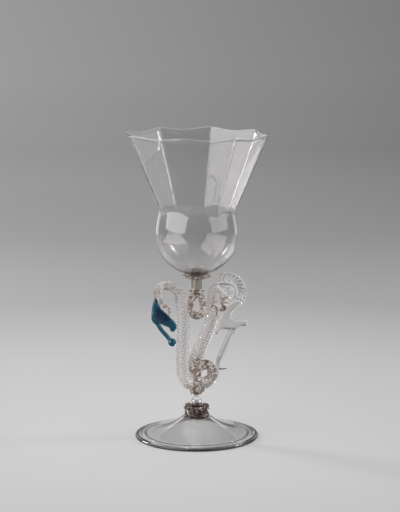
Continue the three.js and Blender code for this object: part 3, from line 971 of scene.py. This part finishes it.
@dataclass
class Ropes:
    """The two serpents, the loop between them, the calyx below and the stems."""

    reach: float = 32.0
    depth: float = 6.0
    rise: float = 80.0
    limb: float = 5.3
    arch: float = 3.9
    neck: float = 3.1
    tip: float = 2.4
    coil: float = 4.0
    coil_end: float = 3.0
    curl: float = 3.5
    knot: float = 3.0
    ribs: int = 12
    rib_depth: float = 0.45
    rib_lead: float = 32.0
    loop_height: float = 16.6
    loop_width: float = 10.0
    loop_radius: float = 2.9
    loop_forward: float = 3.4
    loop_ribs: int = 9
    upper_stem_radius: float = 4.3
    upper_stem_flare: float = 6.2
    lower_stem_end: float = 4.5
    lower_stem_waist: float = 3.9
    calyx_foot: float = 4.7
    calyx_mouth: float = 6.5
    calyx_lobes: int = 9
    calyx_lobe_depth: float = 0.6
    stem_core_share: float = 0.6
    stem_bevel: float = 0.3
    stem_blend: float = 1.0
    left_shares: tuple[Point, ...] = (
        (-0.075, 0.4, -0.014), (-0.222, 0.4, 0.031), (-0.316, 0.4, 0.103), (-0.345, 0.4, 0.203),
        (-0.348, 0.35, 0.353), (-0.34, 0.3, 0.553), (-0.342, 0.25, 0.733), (-0.368, 0.2, 0.831),
        (-0.425, 0.1, 0.911), (-0.534, 0, 0.965), (-0.706, -0.1, 0.998), (-0.866, -0.1, 0.99),
        (-0.95, 0, 0.951), (-0.956, 0.1, 0.891), (-0.903, 0.15, 0.831), (-0.831, 0.2, 0.793),
    )
    right_shares: tuple[Point, ...] = (
        (0.05, -0.9, 0.1), (0.02, -0.95, 0.145), (0.08, -0.9, 0.195), (0.19, -0.8, 0.22),
        (0.305, -0.7, 0.203), (0.375, -0.55, 0.15), (0.37, -0.4, 0.093), (0.28, -0.3, 0.055),
        (0.11, -0.1, 0.034), (-0.02, 0.25, 0.083), (-0.045, 0.42, 0.165), (-0.012, 0.42, 0.255),
        (0.072, 0.35, 0.353), (0.197, 0.3, 0.473), (0.319, 0.25, 0.603), (0.378, 0.25, 0.703),
        (0.375, 0.25, 0.8), (0.36, 0.25, 0.881), (0.41, 0.15, 0.95), (0.53, 0, 0.965),
        (0.645, -0.2, 0.92), (0.675, -0.5, 0.845), (0.62, -0.7, 0.785), (0.55, -0.78, 0.8),
    )
    loop_shares: tuple[Share, ...] = (
        (0, 1), (-0.3, 0.86), (-0.48, 0.5), (-0.42, 0.16), (0, 0), (0.46, 0.16), (0.52, 0.5), (0.32, 0.86),
    )

    def __post_init__(self) -> None:
        """Reads the levels from the frame."""
        self.level = top_of("calyx")
        self.stem_level = level_of("upper_stem") + self.loop_radius
        self.stem_top = level_of("stem_merese")

    def places(self, shares: Sequence[Point]) -> list[Point]:
        """Places from shares of the serpents' reach, depth and rise."""
        return [(x * self.reach, y * self.depth, self.level + z * self.rise) for x, y, z in shares]

    def middle_place(self, shares: Share) -> Array:
        """The place midway from front to back at shares of the serpents' reach and rise."""
        return np.array([shares[0] * self.reach, 0, self.level + shares[1] * self.rise])

    def route(self, shares: Sequence[Point], steps: int) -> Array:
        """A serpent's route from its shares of reach, depth and rise."""
        return smooth_route(self.places(shares), steps)

    def rope(self, name: str, route: Array, radii: Radii) -> Piece:
        """A ribbed rope along a route."""
        sides = self.ribs * RIB_POINTS
        return make(name, swept(route, radii, sides, Ends.ROUND, self.ribs, self.rib_depth, self.rib_lead))

    def build(self) -> None:
        """Builds the ropes, the calyx and the stems, cuts them to each other and dresses them."""
        left_radii = at_shares([(0, self.limb), (0.55, self.limb), (0.76, self.arch), (0.9, self.neck),
                                (1, self.tip)])
        right_radii = at_shares([(0, self.coil_end), (0.1, self.coil), (0.26, self.coil), (0.37, self.limb),
                                 (0.64, self.limb), (0.8, self.curl), (1, self.knot)])
        left_route = self.route(self.left_shares, 360)
        right_route = self.route(self.right_shares, 460)
        self.left_tip = left_route[-1]
        right = self.rope("right_serpent_rope", right_route, right_radii)
        left = self.rope("left_serpent_rope", left_route, left_radii)

        top = self.stem_level - self.loop_radius
        points = [(x * self.loop_width, -self.loop_forward * (1 - z * z), top + (z - 1) * self.loop_height)
                  for x, z in self.loop_shares]
        ring = smooth_route(points, 150, True)
        sides = self.loop_ribs * RIB_POINTS
        loop = make("centre_loop_rope", swept(ring, even(self.loop_radius), sides, Ends.JOINED,
                                              self.loop_ribs, self.rib_depth, self.rib_lead))
        calyx = make("calyx_cup", self.calyx_shape())
        upper = make("upper_stem_glass", self.upper_stem_shape())
        lower = make("lower_stem_glass", self.lower_stem_shape())

        grow = 1 + SEAT_GAP / self.limb
        self.right_tool = make("right_tool", swept(right_route[::3], lambda s: right_radii(s) * grow, 40))
        self.left_tool = make("left_tool", swept(left_route[::3], lambda s: left_radii(s) * grow, 40))
        loop_tool = make("loop_tool", swept(ring[::2], even(self.loop_radius + SEAT_GAP), 32, Ends.JOINED))
        carve(left, self.right_tool)
        carve(loop, self.right_tool, self.left_tool)
        carve(upper, loop_tool, self.right_tool, self.left_tool)
        carve(calyx, self.right_tool, self.left_tool)
        self.calyx_tool = grown(calyx)
        remove(loop_tool)

        dress(right, "right_serpent", KNOT)
        dress(left, "left_serpent", ROPE)
        dress(loop, "centre_loop", WARM)
        dress(calyx, "calyx", WARM)
        dress(upper, "upper_stem", STEM)
        dress(lower, "lower_stem", CLEAR)

    def calyx_shape(self) -> Shape:
        """The ribbed cup under the ropes.

        Returns:
            The cup's points and faces.
        """
        low, high = level_of("calyx") + LEVEL_GAP, top_of("calyx")
        swell = self.calyx_mouth - self.calyx_foot
        wall = arc((self.calyx_foot, high), (swell, high - low), -RIGHT_ANGLE, 0, 20)
        base = disc(self.calyx_foot, low, 5)[:-1]
        crown = disc(self.calyx_mouth, high, 7)[-2::-1]

        def shaping(angle: Array, radius: Array, height: Array) -> tuple[Array, Array]:
            """Pinches the cup's lobes.

            Args:
                angle: The points' angles.
                radius: Their radii.
                height: Their heights.

            Returns:
                The new radii and heights.
            """
            beat = 0.5 - 0.5 * np.cos(self.calyx_lobes * angle)
            near_edge = np.clip(radius / self.calyx_mouth, 0, 1) ** 2
            return radius - self.calyx_lobe_depth * beat * near_edge, height

        return turned([*base, *wall, *crown], 144, shaping)

    def upper_stem_shape(self) -> Shape:
        """The short stem that flares out over the loop.

        Returns:
            The stem's points and faces.
        """
        flare = self.upper_stem_flare - self.upper_stem_radius
        core = self.upper_stem_radius * self.stem_core_share
        wall = arc((self.upper_stem_flare, self.stem_level + flare), (flare, flare), -RIGHT_ANGLE,
                   -2 * RIGHT_ANGLE, 16)
        low = self.stem_level - self.loop_radius
        top = self.stem_top - LEVEL_GAP
        shaft = np.linspace(self.stem_level + flare + self.stem_blend, top, 5)
        profile = [(AXIS_RADIUS, low), (core, low), (self.upper_stem_radius, low + self.stem_bevel), *wall,
                   *[(self.upper_stem_radius, z) for z in shaft], (core, top), (AXIS_RADIUS, top)]
        return turned(profile, 96)

    def lower_stem_shape(self) -> Shape:
        """The short waisted stem under the calyx.

        Returns:
            The stem's points and faces.
        """
        low, high = glass_levels("lower_stem")
        swell = self.lower_stem_end - self.lower_stem_waist
        wall = [(self.lower_stem_waist + swell * (2 * share - 1) ** 2, low + (high - low) * share)
                for share in np.linspace(0, 1, 17)]
        return turned([*disc(self.lower_stem_end, low, 5)[:-1], *wall,
                       *disc(self.lower_stem_end, high, 5)[-2::-1]], 96)


@dataclass
class Head:
    """The blue head on the left serpent: crest, jaw and the clear curl behind it."""

    height: float = 27.5
    width: float = 20.5
    thickness: float = 3.6
    jaw_radius: float = 1.75
    ball_radius: float = 3.25
    curl_radius: float = 1.1
    curl_reach: float = 5.2
    forward_share: float = 0.72
    ball_set_share: float = 0.7
    seat_radius: float = 2.3
    rounding: float = 0.5
    crown: float = 8.0
    skin: float = 0.22
    crest_shares: tuple[Share, ...] = (
        (-0.25, 0.25), (-0.345, 0.14), (-0.405, -0.06), (-0.43, -0.27), (-0.405, -0.42), (-0.29, -0.51),
        (-0.12, -0.5), (0.1, -0.57), (0.25, -0.62), (0.29, -0.7), (0.4, -0.735), (0.52, -0.66), (0.53, -0.56),
        (0.46, -0.45), (0.3, -0.33), (0.16, -0.22), (-0.02, -0.1), (-0.15, 0.05),
    )
    jaw_shares: tuple[Share, ...] = ((-0.26, -0.42), (-0.06, -0.67), (0.15, -0.855), (0.29, -0.98))
    curl_shares: tuple[Share, ...] = (
        (0.05, -0.85), (-0.1, -0.3), (0.1, 0.35), (0.45, 0.5), (0.8, 0.3), (1, -0.3), (1.02, -1),
    )

    def build(self, ropes: Ropes) -> None:
        """Builds the head at the left serpent's tip and dresses it.

        Args:
            ropes: The serpents that carry it.
        """
        tip = ropes.left_tip
        depth = tip[1] - self.forward_share * (self.seat_radius + self.thickness / 2)
        outline = closed_outline(self.crest_shares, self.width, self.height, tip, 160)
        crest = slab("blue_crest_glass", outline, self.thickness, depth, self.rounding, self.crown)
        carve(crest, ropes.left_tool)
        crest_tool = grown(crest)

        points = plane_points(self.jaw_shares, self.width, self.height, (tip[0], depth, tip[2]))
        route = smooth_route(points, 60)
        onward = route[-1] - route[-2]
        centre = route[-1] + onward / np.linalg.norm(onward) * self.ball_radius * self.ball_set_share
        bar = swept(route, even(self.jaw_radius), 32)
        jaw = make("blue_jaw_glass", together(bar, ball(centre, self.ball_radius)))
        fused(jaw, self.skin, 6)
        carve(jaw, crest_tool)

        seat = (tip[0], depth, tip[2] - self.seat_radius)
        points = plane_points(self.curl_shares, self.curl_reach, self.curl_reach, seat)
        curl = make("head_curl_glass", swept(smooth_route(points, 90), even(self.curl_radius), 24))
        carve(curl, crest_tool, ropes.left_tool)
        remove(crest_tool)
        dress(crest, "blue_crest", BLUE)
        dress(jaw, "blue_jaw", TEAL)
        dress(curl, "head_curl", CURL)


@dataclass
class Comb:
    """The clear fan with pincered ribs and a rim bead, and the thread inside it."""

    radius: float = 16.0
    core_radius: float = 5.6
    core_bead: float = 1.7
    web: float = 0.45
    rib: float = 0.95
    rim_bead: float = 1.15
    corner_share: float = 0.13
    corner_sweep: float = 14.0
    ribs: int = 10
    rib_wave: float = 0.5
    start: float = 110.0
    sweep: float = 142.0
    lean: float = 4.0
    lean_share: float = 0.35
    wave_share: float = 0.8
    edge_shares: Share = (0.12, 0.93)
    end_sweep: float = 8.0
    hub_shares: Share = (0.72, 0.931)
    thread_radius: float = 1.1
    thread_reach: float = 6.4
    thread_shares: tuple[Share, ...] = ((0.05, 0.72), (0.5, 0.5), (0.68, 0), (0.62, -0.55), (0.3, -0.95))

    def section(self, share: float, angle_share: float) -> float:
        """Half the fan's thickness at a share of its radial width and of its sweep.

        Args:
            share: The share of the way from the core to the rim.
            angle_share: The share of the way round.

        Returns:
            Half the thickness.
        """
        span = self.radius - self.core_radius
        r = self.core_radius + share * span
        from_core = abs(r - self.core_radius - self.core_bead) / self.core_bead
        from_rim = abs(r - self.radius + self.rim_bead) / self.rim_bead
        core = self.core_bead * math.sqrt(max(0, 1 - from_core ** 2))
        rim = self.rim_bead * math.sqrt(max(0, 1 - from_rim ** 2))
        wave = self.rib_wave * math.sin(FULL_TURN * share * self.wave_share)
        phase = FULL_TURN * (self.ribs * angle_share + wave)
        ridge = (0.5 - 0.5 * math.cos(phase)) ** 2
        core_edge, rim_edge = self.edge_shares
        inside = smooth_step(share, 0, core_edge) * (1 - smooth_step(share, rim_edge, 1))
        web = (self.web + self.rib * ridge) * inside
        return max(LEAST_RADIUS, (core ** 4 + web ** 4 + rim ** 4) ** 0.25)

    def shape(self, hub: Array) -> Shape:
        """The fan's points and faces about its hub.

        Args:
            hub: The middle of the fan.

        Returns:
            The points and faces.
        """
        across = 0.5 - 0.5 * np.cos(np.linspace(0, math.pi, 34))
        steps = self.ribs * 22
        rings = []
        for i in range(steps + 1):
            along = i / steps
            angle = math.radians(self.start - self.sweep * along)
            lean = self.lean * (1 - smooth_step(along, 0, self.lean_share))
            near_end = min(1, min(along, 1 - along) * self.sweep / self.end_sweep)
            blunt = math.sqrt(max(LEAST_RADIUS, 1 - (1 - near_end) ** 2))
            near_corner = min(1, along * self.sweep / self.corner_sweep)
            rounding = 1 - math.sqrt(1 - (1 - near_corner) ** 2)
            reach = self.radius * (1 - self.corner_share * rounding)
            front, back = [], []
            for share in across:
                r = self.core_radius + share * (reach - self.core_radius)
                x = hub[0] + r * math.cos(angle) - lean * (1 - share)
                z = hub[2] + r * math.sin(angle)
                y = self.section(share, along) * blunt
                front.append((x, hub[1] - y, z))
                back.append((x, hub[1] + y, z))
            rings.append(front + back[::-1])
        points = np.array(rings).reshape(-1, 3)
        return points, [tuple(reversed(f)) for f in grid_faces(len(rings), 2 * len(across), False)]

    def build(self, ropes: Ropes) -> None:
        """Builds the comb on the right serpent and dresses it.

        Args:
            ropes: The serpents that carry it.
        """
        hub = ropes.middle_place(self.hub_shares)
        comb = make("comb_glass", self.shape(hub))
        carve(comb, ropes.right_tool)
        self.tool = grown(comb)
        points = plane_points(self.thread_shares, self.thread_reach, self.thread_reach, hub)
        thread = make("comb_thread_glass", swept(smooth_route(points, 80), even(self.thread_radius), 24))
        carve(thread, self.tool, ropes.right_tool)
        dress(comb, "comb", COMB)
        dress(thread, "comb_thread", CLEAR)


@dataclass
class Wing:
    """The forked wing, the rod that runs down from it and the spike beside the rod."""

    height: float = 25.5
    width: float = 26.0
    thickness: float = 4.0
    root_shares: Share = (0.44, 0.64)
    rod_root: float = 1.9
    rod: float = 2.6
    rod_end: float = 1.8
    spike_length: float = 7.6
    spike: float = 0.9
    spike_tip: float = 0.3
    spike_sag: float = 0.4
    spike_share: float = 0.66
    rounding: float = 1.1
    crown: float = 1.8
    rod_start_shares: Share = (0.55, -0.18)
    outline_shares: tuple[Share, ...] = (
        (0, -0.34), (0.08, -0.1), (0.2, 0.22), (0.3, 0.42), (0.46, 0.58), (0.64, 0.68), (0.84, 0.6),
        (0.72, 0.47), (0.57, 0.33), (0.5, 0.22), (0.53, 0.12), (0.62, 0.07), (0.78, 0.06), (0.93, 0.07),
        (1, 0), (0.97, -0.12), (0.8, -0.15), (0.64, -0.24), (0.44, -0.25), (0.24, -0.25), (0.07, -0.4),
    )
    rod_shares: tuple[Point, ...] = (
        (0.81, 0.15, 0.502), (0.705, 0.3, 0.402), (0.6, 0.5, 0.302), (0.54, 0.62, 0.24), (0.502, 0.65, 0.17),
        (0.482, 0.6, 0.1), (0.435, 0.5, 0.05), (0.34, 0.4, 0.012), (0.2, 0.3, -0.024),
    )

    def build(self, ropes: Ropes, comb: Comb) -> None:
        """Builds the wing, the rod and the spike, and dresses them.

        Args:
            ropes: The serpents that carry them.
            comb: The comb that the wing meets.
        """
        root = ropes.middle_place(self.root_shares)
        outline = closed_outline(self.outline_shares, self.width, self.height, root, 200)
        wing = slab("wing_glass", outline, self.thickness, root[1], self.rounding, self.crown)
        carve(wing, ropes.right_tool, comb.tool)
        wing_tool = grown(wing)

        points = plane_points([self.rod_start_shares], self.width, self.height, root)
        route = smooth_route(points + ropes.places(self.rod_shares), 200)
        radii = at_shares([(0, self.rod_root), (0.1, self.rod), (0.45, self.rod), (0.62, self.rod_end),
                           (1, self.rod_end)])
        rod = make("rod_glass", swept(route, radii, 40))
        carve(rod, ropes.right_tool, wing_tool, ropes.calyx_tool)
        rod_tool = grown(rod)

        start = route[round(self.spike_share * (len(route) - 1))]
        middle = start + (self.spike_length / 2, 0, -self.spike_sag)
        end = start + (self.spike_length, 0, 0)
        spike_route = smooth_route([tuple(start), tuple(middle), tuple(end)], 60)
        tapered = at_shares([(0, self.spike), (1, self.spike_tip)])
        spike = make("tail_spike_glass", swept(spike_route, tapered, 20))
        carve(spike, rod_tool, ropes.right_tool)
        for tool in (wing_tool, rod_tool):
            remove(tool)
        dress(wing, "wing", WING)
        # The rod's grey glass is painted shade.
        dress(rod, "rod", SHADED_ROD)
        dress(spike, "tail_spike", DARK)


@dataclass
class Bowl:
    """The bowl: a round bulb and waist below an eight-sided funnel."""

    height: float = 110.9
    wall: float = 0.8
    lip: float = 1.4
    lip_height: float = 2.2
    floor: float = 1.7
    pad_radius: float = 7.0
    bulb_radius: float = 31.8
    bulb_height: float = 30.9
    waist_radius: float = 29.3
    waist_height: float = 48.4
    waist_blend: float = 0.7
    waist_rows: int = 44
    waist_span: Share = (4.0, 9.0)
    facet_start: float = 62.6
    rim_radius: float = 56.8
    rim_dip: float = 1.8
    rim_dip_power: int = 3
    corners: tuple[float, ...] = (-11.9, 32.0, 78.1, 123.8, 168.1, 207.5, 259.0, 301.3)
    corner_sharpness: float = 75.0
    corner_crowding: float = 0.8
    least_lean: float = 0.05
    ridge_heights: tuple[float, ...] = (0.35, 0.35, 0.35, 0.6, 0.35, 0.35, 0.0, 0.5)
    ridge_width: float = 0.8
    ridge_base: float = 46.0
    ridge_end: float = 3.0
    bulb_share: float = 0.9
    bulb_base_share: float = 0.995
    side_points: int = 32

    def bulb_at(self, height: Array, inset: Array | float) -> Array:
        """The bulb's radius above its middle, for a surface this far inside the outer one.

        Args:
            height: Heights above the bowl's base.
            inset: How far inside the outer surface.

        Returns:
            A radius for each height.
        """
        shoulder = math.acos(self.waist_radius / self.bulb_radius)
        reach = (self.waist_height - self.bulb_height) / math.sin(shoulder)
        share = np.clip((height - self.bulb_height) / reach, 0, self.bulb_share)
        return (self.bulb_radius - inset) * np.sqrt(1 - share ** 2)

    def funnel_at(self, height: Array, inset: Array | float) -> Array:
        """The funnel's radius at its corners, for a surface this far inside the outer one.

        Args:
            height: Heights above the bowl's base.
            inset: How far inside the outer surface.

        Returns:
            A radius for each height.
        """
        slope = (self.rim_radius - self.waist_radius) / (self.height - self.waist_height)
        return self.waist_radius - inset + slope * (height - self.waist_height)

    def surface(self, inset: float) -> list[Share]:
        """The wall from the pad to the rim, for a surface this far inside the outer one.

        Args:
            inset: How far inside the outer surface.

        Returns:
            Radius and height pairs.
        """
        bulb = self.bulb_radius - inset
        floor = self.floor if inset else 0.0
        start = -RIGHT_ANGLE * self.bulb_base_share if inset else -math.acos(self.pad_radius / bulb)
        lower = arc((0, self.bulb_height), (bulb, self.bulb_height - floor), start, 0, 40)
        top = self.height - self.lip / 2
        below, above = self.waist_height - self.waist_span[0], self.waist_height + self.waist_span[1]
        spans = ((self.bulb_height, below, 14), (below, above, self.waist_rows), (above, top, 44))
        heights = np.concatenate([np.linspace(*span)[1:] for span in spans])
        radii = np.maximum(self.bulb_at(heights, inset), self.funnel_at(heights, inset))
        if inset:
            radii = radii - (self.lip - self.wall) * smooth_step(heights, top - self.lip_height, top)
        return [*lower, *zip(radii.tolist(), heights.tolist())]

    def shape(self) -> Shape:
        """The bowl's points and faces, standing on zero.

        Returns:
            The points and faces.
        """
        outside = self.surface(0.0)
        inside = self.surface(self.wall)[::-1]
        middle = (outside[-1][0] + inside[0][0]) / 2
        half = (outside[-1][0] - inside[0][0]) / 2
        crown = arc((middle, outside[-1][1]), (half, self.lip / 2), 0, 2 * RIGHT_ANGLE, 10)[1:-1]
        pad = disc(self.pad_radius, 0.0, 6)[:-1]
        starts = np.radians(self.corners)
        widths = np.mod(np.roll(starts, -1) - starts, FULL_TURN)
        share = np.linspace(0, 1, self.side_points, endpoint=False)
        crowded = share - self.corner_crowding * np.sin(FULL_TURN * share) / FULL_TURN
        angles = np.concatenate([a + crowded * w for a, w in zip(starts, widths)])

        def shaping(angle: Array, radius: Array, height: Array) -> tuple[Array, Array]:
            """Presses the flats into the funnel, rounds its corners and dips the rim between them.

            Args:
                angle: The points' angles.
                radius: Their radii.
                height: Their heights.

            Returns:
                The new radii and heights.
            """
            packed = np.zeros_like(angle)
            dip = np.zeros_like(angle)
            ridge = np.zeros_like(angle)
            outer = (np.arange(len(angle)) < len(pad) + len(outside))[:, None]
            for a, w, high in zip(starts, widths, self.ridge_heights):
                lean = np.maximum(np.cos(angle - a - w / 2), self.least_lean)
                packed += (math.cos(w / 2) / lean) ** -self.corner_sharpness
                along = np.mod(angle - a + 1e-9, FULL_TURN) / w
                dip = np.where(along < 1, np.sin(math.pi * along) ** 2, dip)
                apart = np.mod(angle - a + math.pi, FULL_TURN) - math.pi
                ridge += outer * high * np.exp(-(apart * radius / self.ridge_width) ** 2)
            flat = packed ** (-1 / self.corner_sharpness)
            inset = np.where(outer, 0.0, self.wall)
            bulb, funnel = self.bulb_at(height, inset), self.funnel_at(height, inset) * flat
            waist = (bulb + funnel + np.sqrt((bulb - funnel) ** 2 + self.waist_blend ** 2)) / 2
            cut = np.where(height > self.facet_start, radius * flat, waist)
            cut = np.where(height > self.bulb_height, cut, radius)
            ridging = smooth_step(height, self.ridge_base, self.facet_start)
            ridging = ridging * smooth_step(self.height - height, self.lip / 2, self.ridge_end)
            rise = np.clip((height - self.facet_start) / (self.height - self.facet_start), 0, None)
            return cut + ridge * ridging, height - self.rim_dip * dip * rise ** self.rim_dip_power

        return turned([*pad, *outside, *crown, *inside], angles, shaping)

    def build(self) -> None:
        """Builds the bowl on its merese and dresses it."""
        points, faces = self.shape()
        points[:, 2] += level_of("bowl") + LEVEL_GAP
        points[:, 2] = np.minimum(points[:, 2], top_of("bowl"))
        dress(make("bowl_glass", (points, faces)), "bowl", BOWL)


def greys(tones: Sequence[Share]) -> list[tuple[float, Point]]:
    """A ramp's stops from pairs of place and tone, each a very little bluer than grey."""
    return [(place, (tone, tone, tone * 1.01)) for place, tone in tones]


@dataclass
class Panel:
    """A soft lamp: where it stands, what it points at, its size and its brightness."""

    name: str
    place: Point
    aim: Point
    width: float
    height: float
    brightness: float
    colour: Point = (1.0, 0.975, 0.965)
    seen_through: bool = True

    def build(self) -> None:
        """Hangs the lamp."""
        lamp = bpy.data.lights.new(self.name, "AREA")
        lamp.shape = "RECTANGLE"
        lamp.size = self.width
        lamp.size_y = self.height
        lamp.energy = self.brightness * self.width * self.height * math.pi
        lamp.color = self.colour
        holder = add_object(self.name, lamp)
        holder.location = self.place
        holder.visible_camera = False
        holder.visible_transmission = self.seen_through
        direction = holder.location.copy()
        direction.xyz = [b - a for a, b in zip(self.place, self.aim)]
        holder.rotation_euler = direction.to_track_quat("-Z", "Y").to_euler()


@dataclass
class Studio:
    """The pale floor that sweeps up behind, the soft lamps and the camera."""

    floor_start: float = 0.01
    floor_radius: float = 2.4
    sweep_radius: float = 0.4
    flat_share: float = 0.8
    rise_span: float = 0.3
    side_reach: float = 0.5
    wall_height: float = 1.5
    camera_place: Point = (0.0026, -1.3366, 0.3582)
    camera_tilt: float = 90 - 9.1066
    lens: float = 122.4
    # A share of the sheet glows with its own grey for camera, glossy and transmission rays; the side fade and
    # the tones paint the lamps' falloff into it.
    shown_share: float = 0.6875
    side_fade_near: float = 0.08
    side_fade_far: float = 0.45
    side_fade_span: Share = (0.13, 0.5)
    tones: tuple[Share, ...] = (
        (0.0, 0.515), (0.034, 0.515), (0.091, 0.462), (0.168, 0.356), (0.297, 0.32), (0.5, 0.356),
        (0.79, 0.338), (0.86, 0.346), (1.0, 0.33),
    )
    sky: tuple[Share, ...] = ((0.5, 0.27), (0.62, 0.1), (0.8, 0.03))
    panels: list[Panel] = field(default_factory=lambda: [
        Panel("softbox_left", (-1.03, -0.46, 0.85), (0, 0, 0.2), 1.9, 1.5, 3.3),
        Panel("softbox_right", (1.19, -0.39, 0.85), (0, 0, 0.2), 1.66, 1.5, 1.8),
        Panel("softbox_low", (-0.93, -0.43, 0.105), (-0.745, -0.345, 1.1), 0.96, 1.3, 2.5,
              seen_through=False),
        Panel("low_right", (0.31, 0.22, 0.01), (0.31, 0.22, 1), 0.3, 0.3, 0.4),
        Panel("fill_left", (-0.575, 0.938, 0.27), (0, 0, 0.27), 0.53, 0.52, 0.56),
        Panel("fill_right", (0.575, 0.938, 0.27), (0, 0, 0.27), 0.53, 0.52, 0.56),
        Panel("softbox_back", (0.99, 0.47, 0.6), (0, 0, 0.2), 0.5, 0.5, 1.0),
        Panel("softbox_top", (-0.2, 0.5, 1.5), (0, 0, 0), 1.4, 0.9, 0.3),
        Panel("spark_front", (-0.42, -1.15, 1.05), (0, 0, 0.12), 0.06, 0.2, 16.0),
        Panel("key_left", (-0.98, 0.64, 0.68), (0, 0, 0.12), 0.2, 0.34, 70.0),
        Panel("kick_right", (1.069, 0.115, 0.806), (0, 0, 0.12), 0.18, 0.34, 38.0),
    ])

    def backdrop(self) -> Piece:
        """The floor and its sweep up to the wall all round, as one sheet.

        Returns:
            The sheet.
        """
        path = [(r, 0.0) for r in np.linspace(self.floor_start, self.floor_radius, 24)]
        bend = (self.sweep_radius, self.sweep_radius)
        path += arc((self.floor_radius, self.sweep_radius), bend, -RIGHT_ANGLE, 0, 24)[1:]
        path.append((self.floor_radius + self.sweep_radius, self.wall_height))
        points, faces = turned(path, 128)
        sheet = make("backdrop", (points / MM, faces[:-1]))
        sheet.data.materials.append(self.backdrop_material())
        return sheet

    def backdrop_material(self) -> bpy.types.Material:
        """A matt grey with painted light falloff: it darkens towards the top of the sweep, and a little
        towards the right, where less light falls.

        Returns:
            The material.
        """
        material = bpy.data.materials.new("backdrop_grey")
        material.use_nodes = True
        tree = material.node_tree
        tree.nodes.clear()
        own = add_node(tree, "TexCoord").outputs["Object"]
        place = add_node(tree, "SeparateXYZ", {"Vector": own}).outputs

        def maths(kind: str, a: Socket | float, b: Socket | float) -> Socket:
            """A Math node over two sockets or numbers."""
            return add_node(tree, "Math", {0: a, 1: b}, operation=kind).outputs["Value"]

        squares = maths("ADD", maths("POWER", place["X"], 2.0), maths("POWER", place["Y"], 2.0))
        run = self.flat_share / (self.floor_radius + self.sweep_radius)
        rise = (1 - self.flat_share) / self.rise_span
        along = maths("ADD", maths("MULTIPLY", maths("POWER", squares, 0.5), run),
                      maths("MULTIPLY", place["Z"], rise))
        aside = maths("MINIMUM", maths("MAXIMUM", place["X"], -self.side_reach), self.side_reach)
        # Painted shade: the fade darkens the sheet towards the right, and the tones darken it up the sweep.
        fade = add_node(tree, "MapRange", {
            "Value": along, "From Min": self.side_fade_span[0], "From Max": self.side_fade_span[1],
            "To Min": self.side_fade_near, "To Max": self.side_fade_far,
        }).outputs["Result"]
        shade = maths("SUBTRACT", 1.0, maths("MULTIPLY", aside, fade))
        grey = add_ramp(tree, along, greys(self.tones))
        scaled = {"Vector": grey, "Scale": shade}
        tone = add_node(tree, "VectorMath", scaled, operation="SCALE").outputs["Vector"]

        rays = add_node(tree, "LightPath").outputs
        mirrored = maths("MAXIMUM", rays["Is Glossy Ray"], rays["Is Transmission Ray"])
        seen = maths("MULTIPLY", maths("MAXIMUM", rays["Is Camera Ray"], mirrored), self.shown_share)
        matt = add_node(tree, "BsdfDiffuse", {"Color": tone}).outputs["BSDF"]
        shown = add_node(tree, "Emission", {"Color": tone}).outputs["Emission"]
        surface = add_node(tree, "MixShader", {"Fac": seen, 1: matt, 2: shown}).outputs["Shader"]
        add_node(tree, "OutputMaterial", {"Surface": surface})
        return material

    def surroundings(self) -> bpy.types.World:
        """A room that is grey at eye level and dark overhead.

        Returns:
            The world.
        """
        world = bpy.data.worlds.new("studio")
        world.use_nodes = True
        tree = world.node_tree
        place = add_node(tree, "SeparateXYZ", {"Vector": add_node(tree, "TexCoord").outputs["Generated"]})
        rise = add_node(tree, "MapRange", {"Value": place.outputs["Z"], "From Min": -1.0}).outputs["Result"]
        tree.links.new(add_ramp(tree, rise, greys(self.sky)), tree.nodes["Background"].inputs["Color"])
        return world

    def build(self) -> None:
        """Sets up the backdrop, the lamps, the world and the camera."""
        self.backdrop()
        for panel in self.panels:
            panel.build()
        scene = bpy.context.scene
        scene.world = self.surroundings()
        camera = bpy.data.cameras.new("camera")
        camera.lens = self.lens
        holder = add_object("camera", camera)
        holder.location = self.camera_place
        holder.rotation_euler = (math.radians(self.camera_tilt), 0, 0)
        scene.camera = holder
        scene.view_settings.view_transform = "Standard"
        scene.cycles.max_bounces = 24
        scene.cycles.transmission_bounces = 24
        scene.cycles.glossy_bounces = 8


def collars() -> list[Collar]:
    """The rings on the foot and the mereses under the bowl, from the foot up.

    Returns:
        The rings.
    """
    return [
        Collar("foot_ring_lower_glass", "foot_ring_lower", 9.9, RING, 1, 9, 0.5, 0.05),
        Collar("foot_ring_middle_glass", "foot_ring_middle", 9.4, DARK, 2, 12, 0.7, 0.1),
        Collar("foot_ring_upper_glass", "foot_ring_upper", 10.5, DARK, 2, 12, 1.2, 0.14),
        Collar("foot_button_glass", "foot_button", 4.7, DARK),
        Collar("stem_merese_glass", "stem_merese", 6.2, WARM),
        Collar("bowl_merese_glass", "bowl_merese", 11.3, WARM, 1, 14, 0.7, 0.1),
    ]


def main() -> None:
    """Builds the goblet from the foot up, and the studio around it."""
    logging.basicConfig(level=logging.INFO, format="%(name)s: %(message)s")
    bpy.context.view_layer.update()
    Foot().build()
    for collar in collars():
        collar.build()
    ropes = Ropes()
    ropes.build()
    Head().build(ropes)
    comb = Comb()
    comb.build(ropes)
    Wing().build(ropes, comb)
    Bowl().build()
    for tool in (ropes.right_tool, ropes.left_tool, ropes.calyx_tool, comb.tool):
        remove(tool)
    Studio().build()


if __name__ == "__main__":
    main()
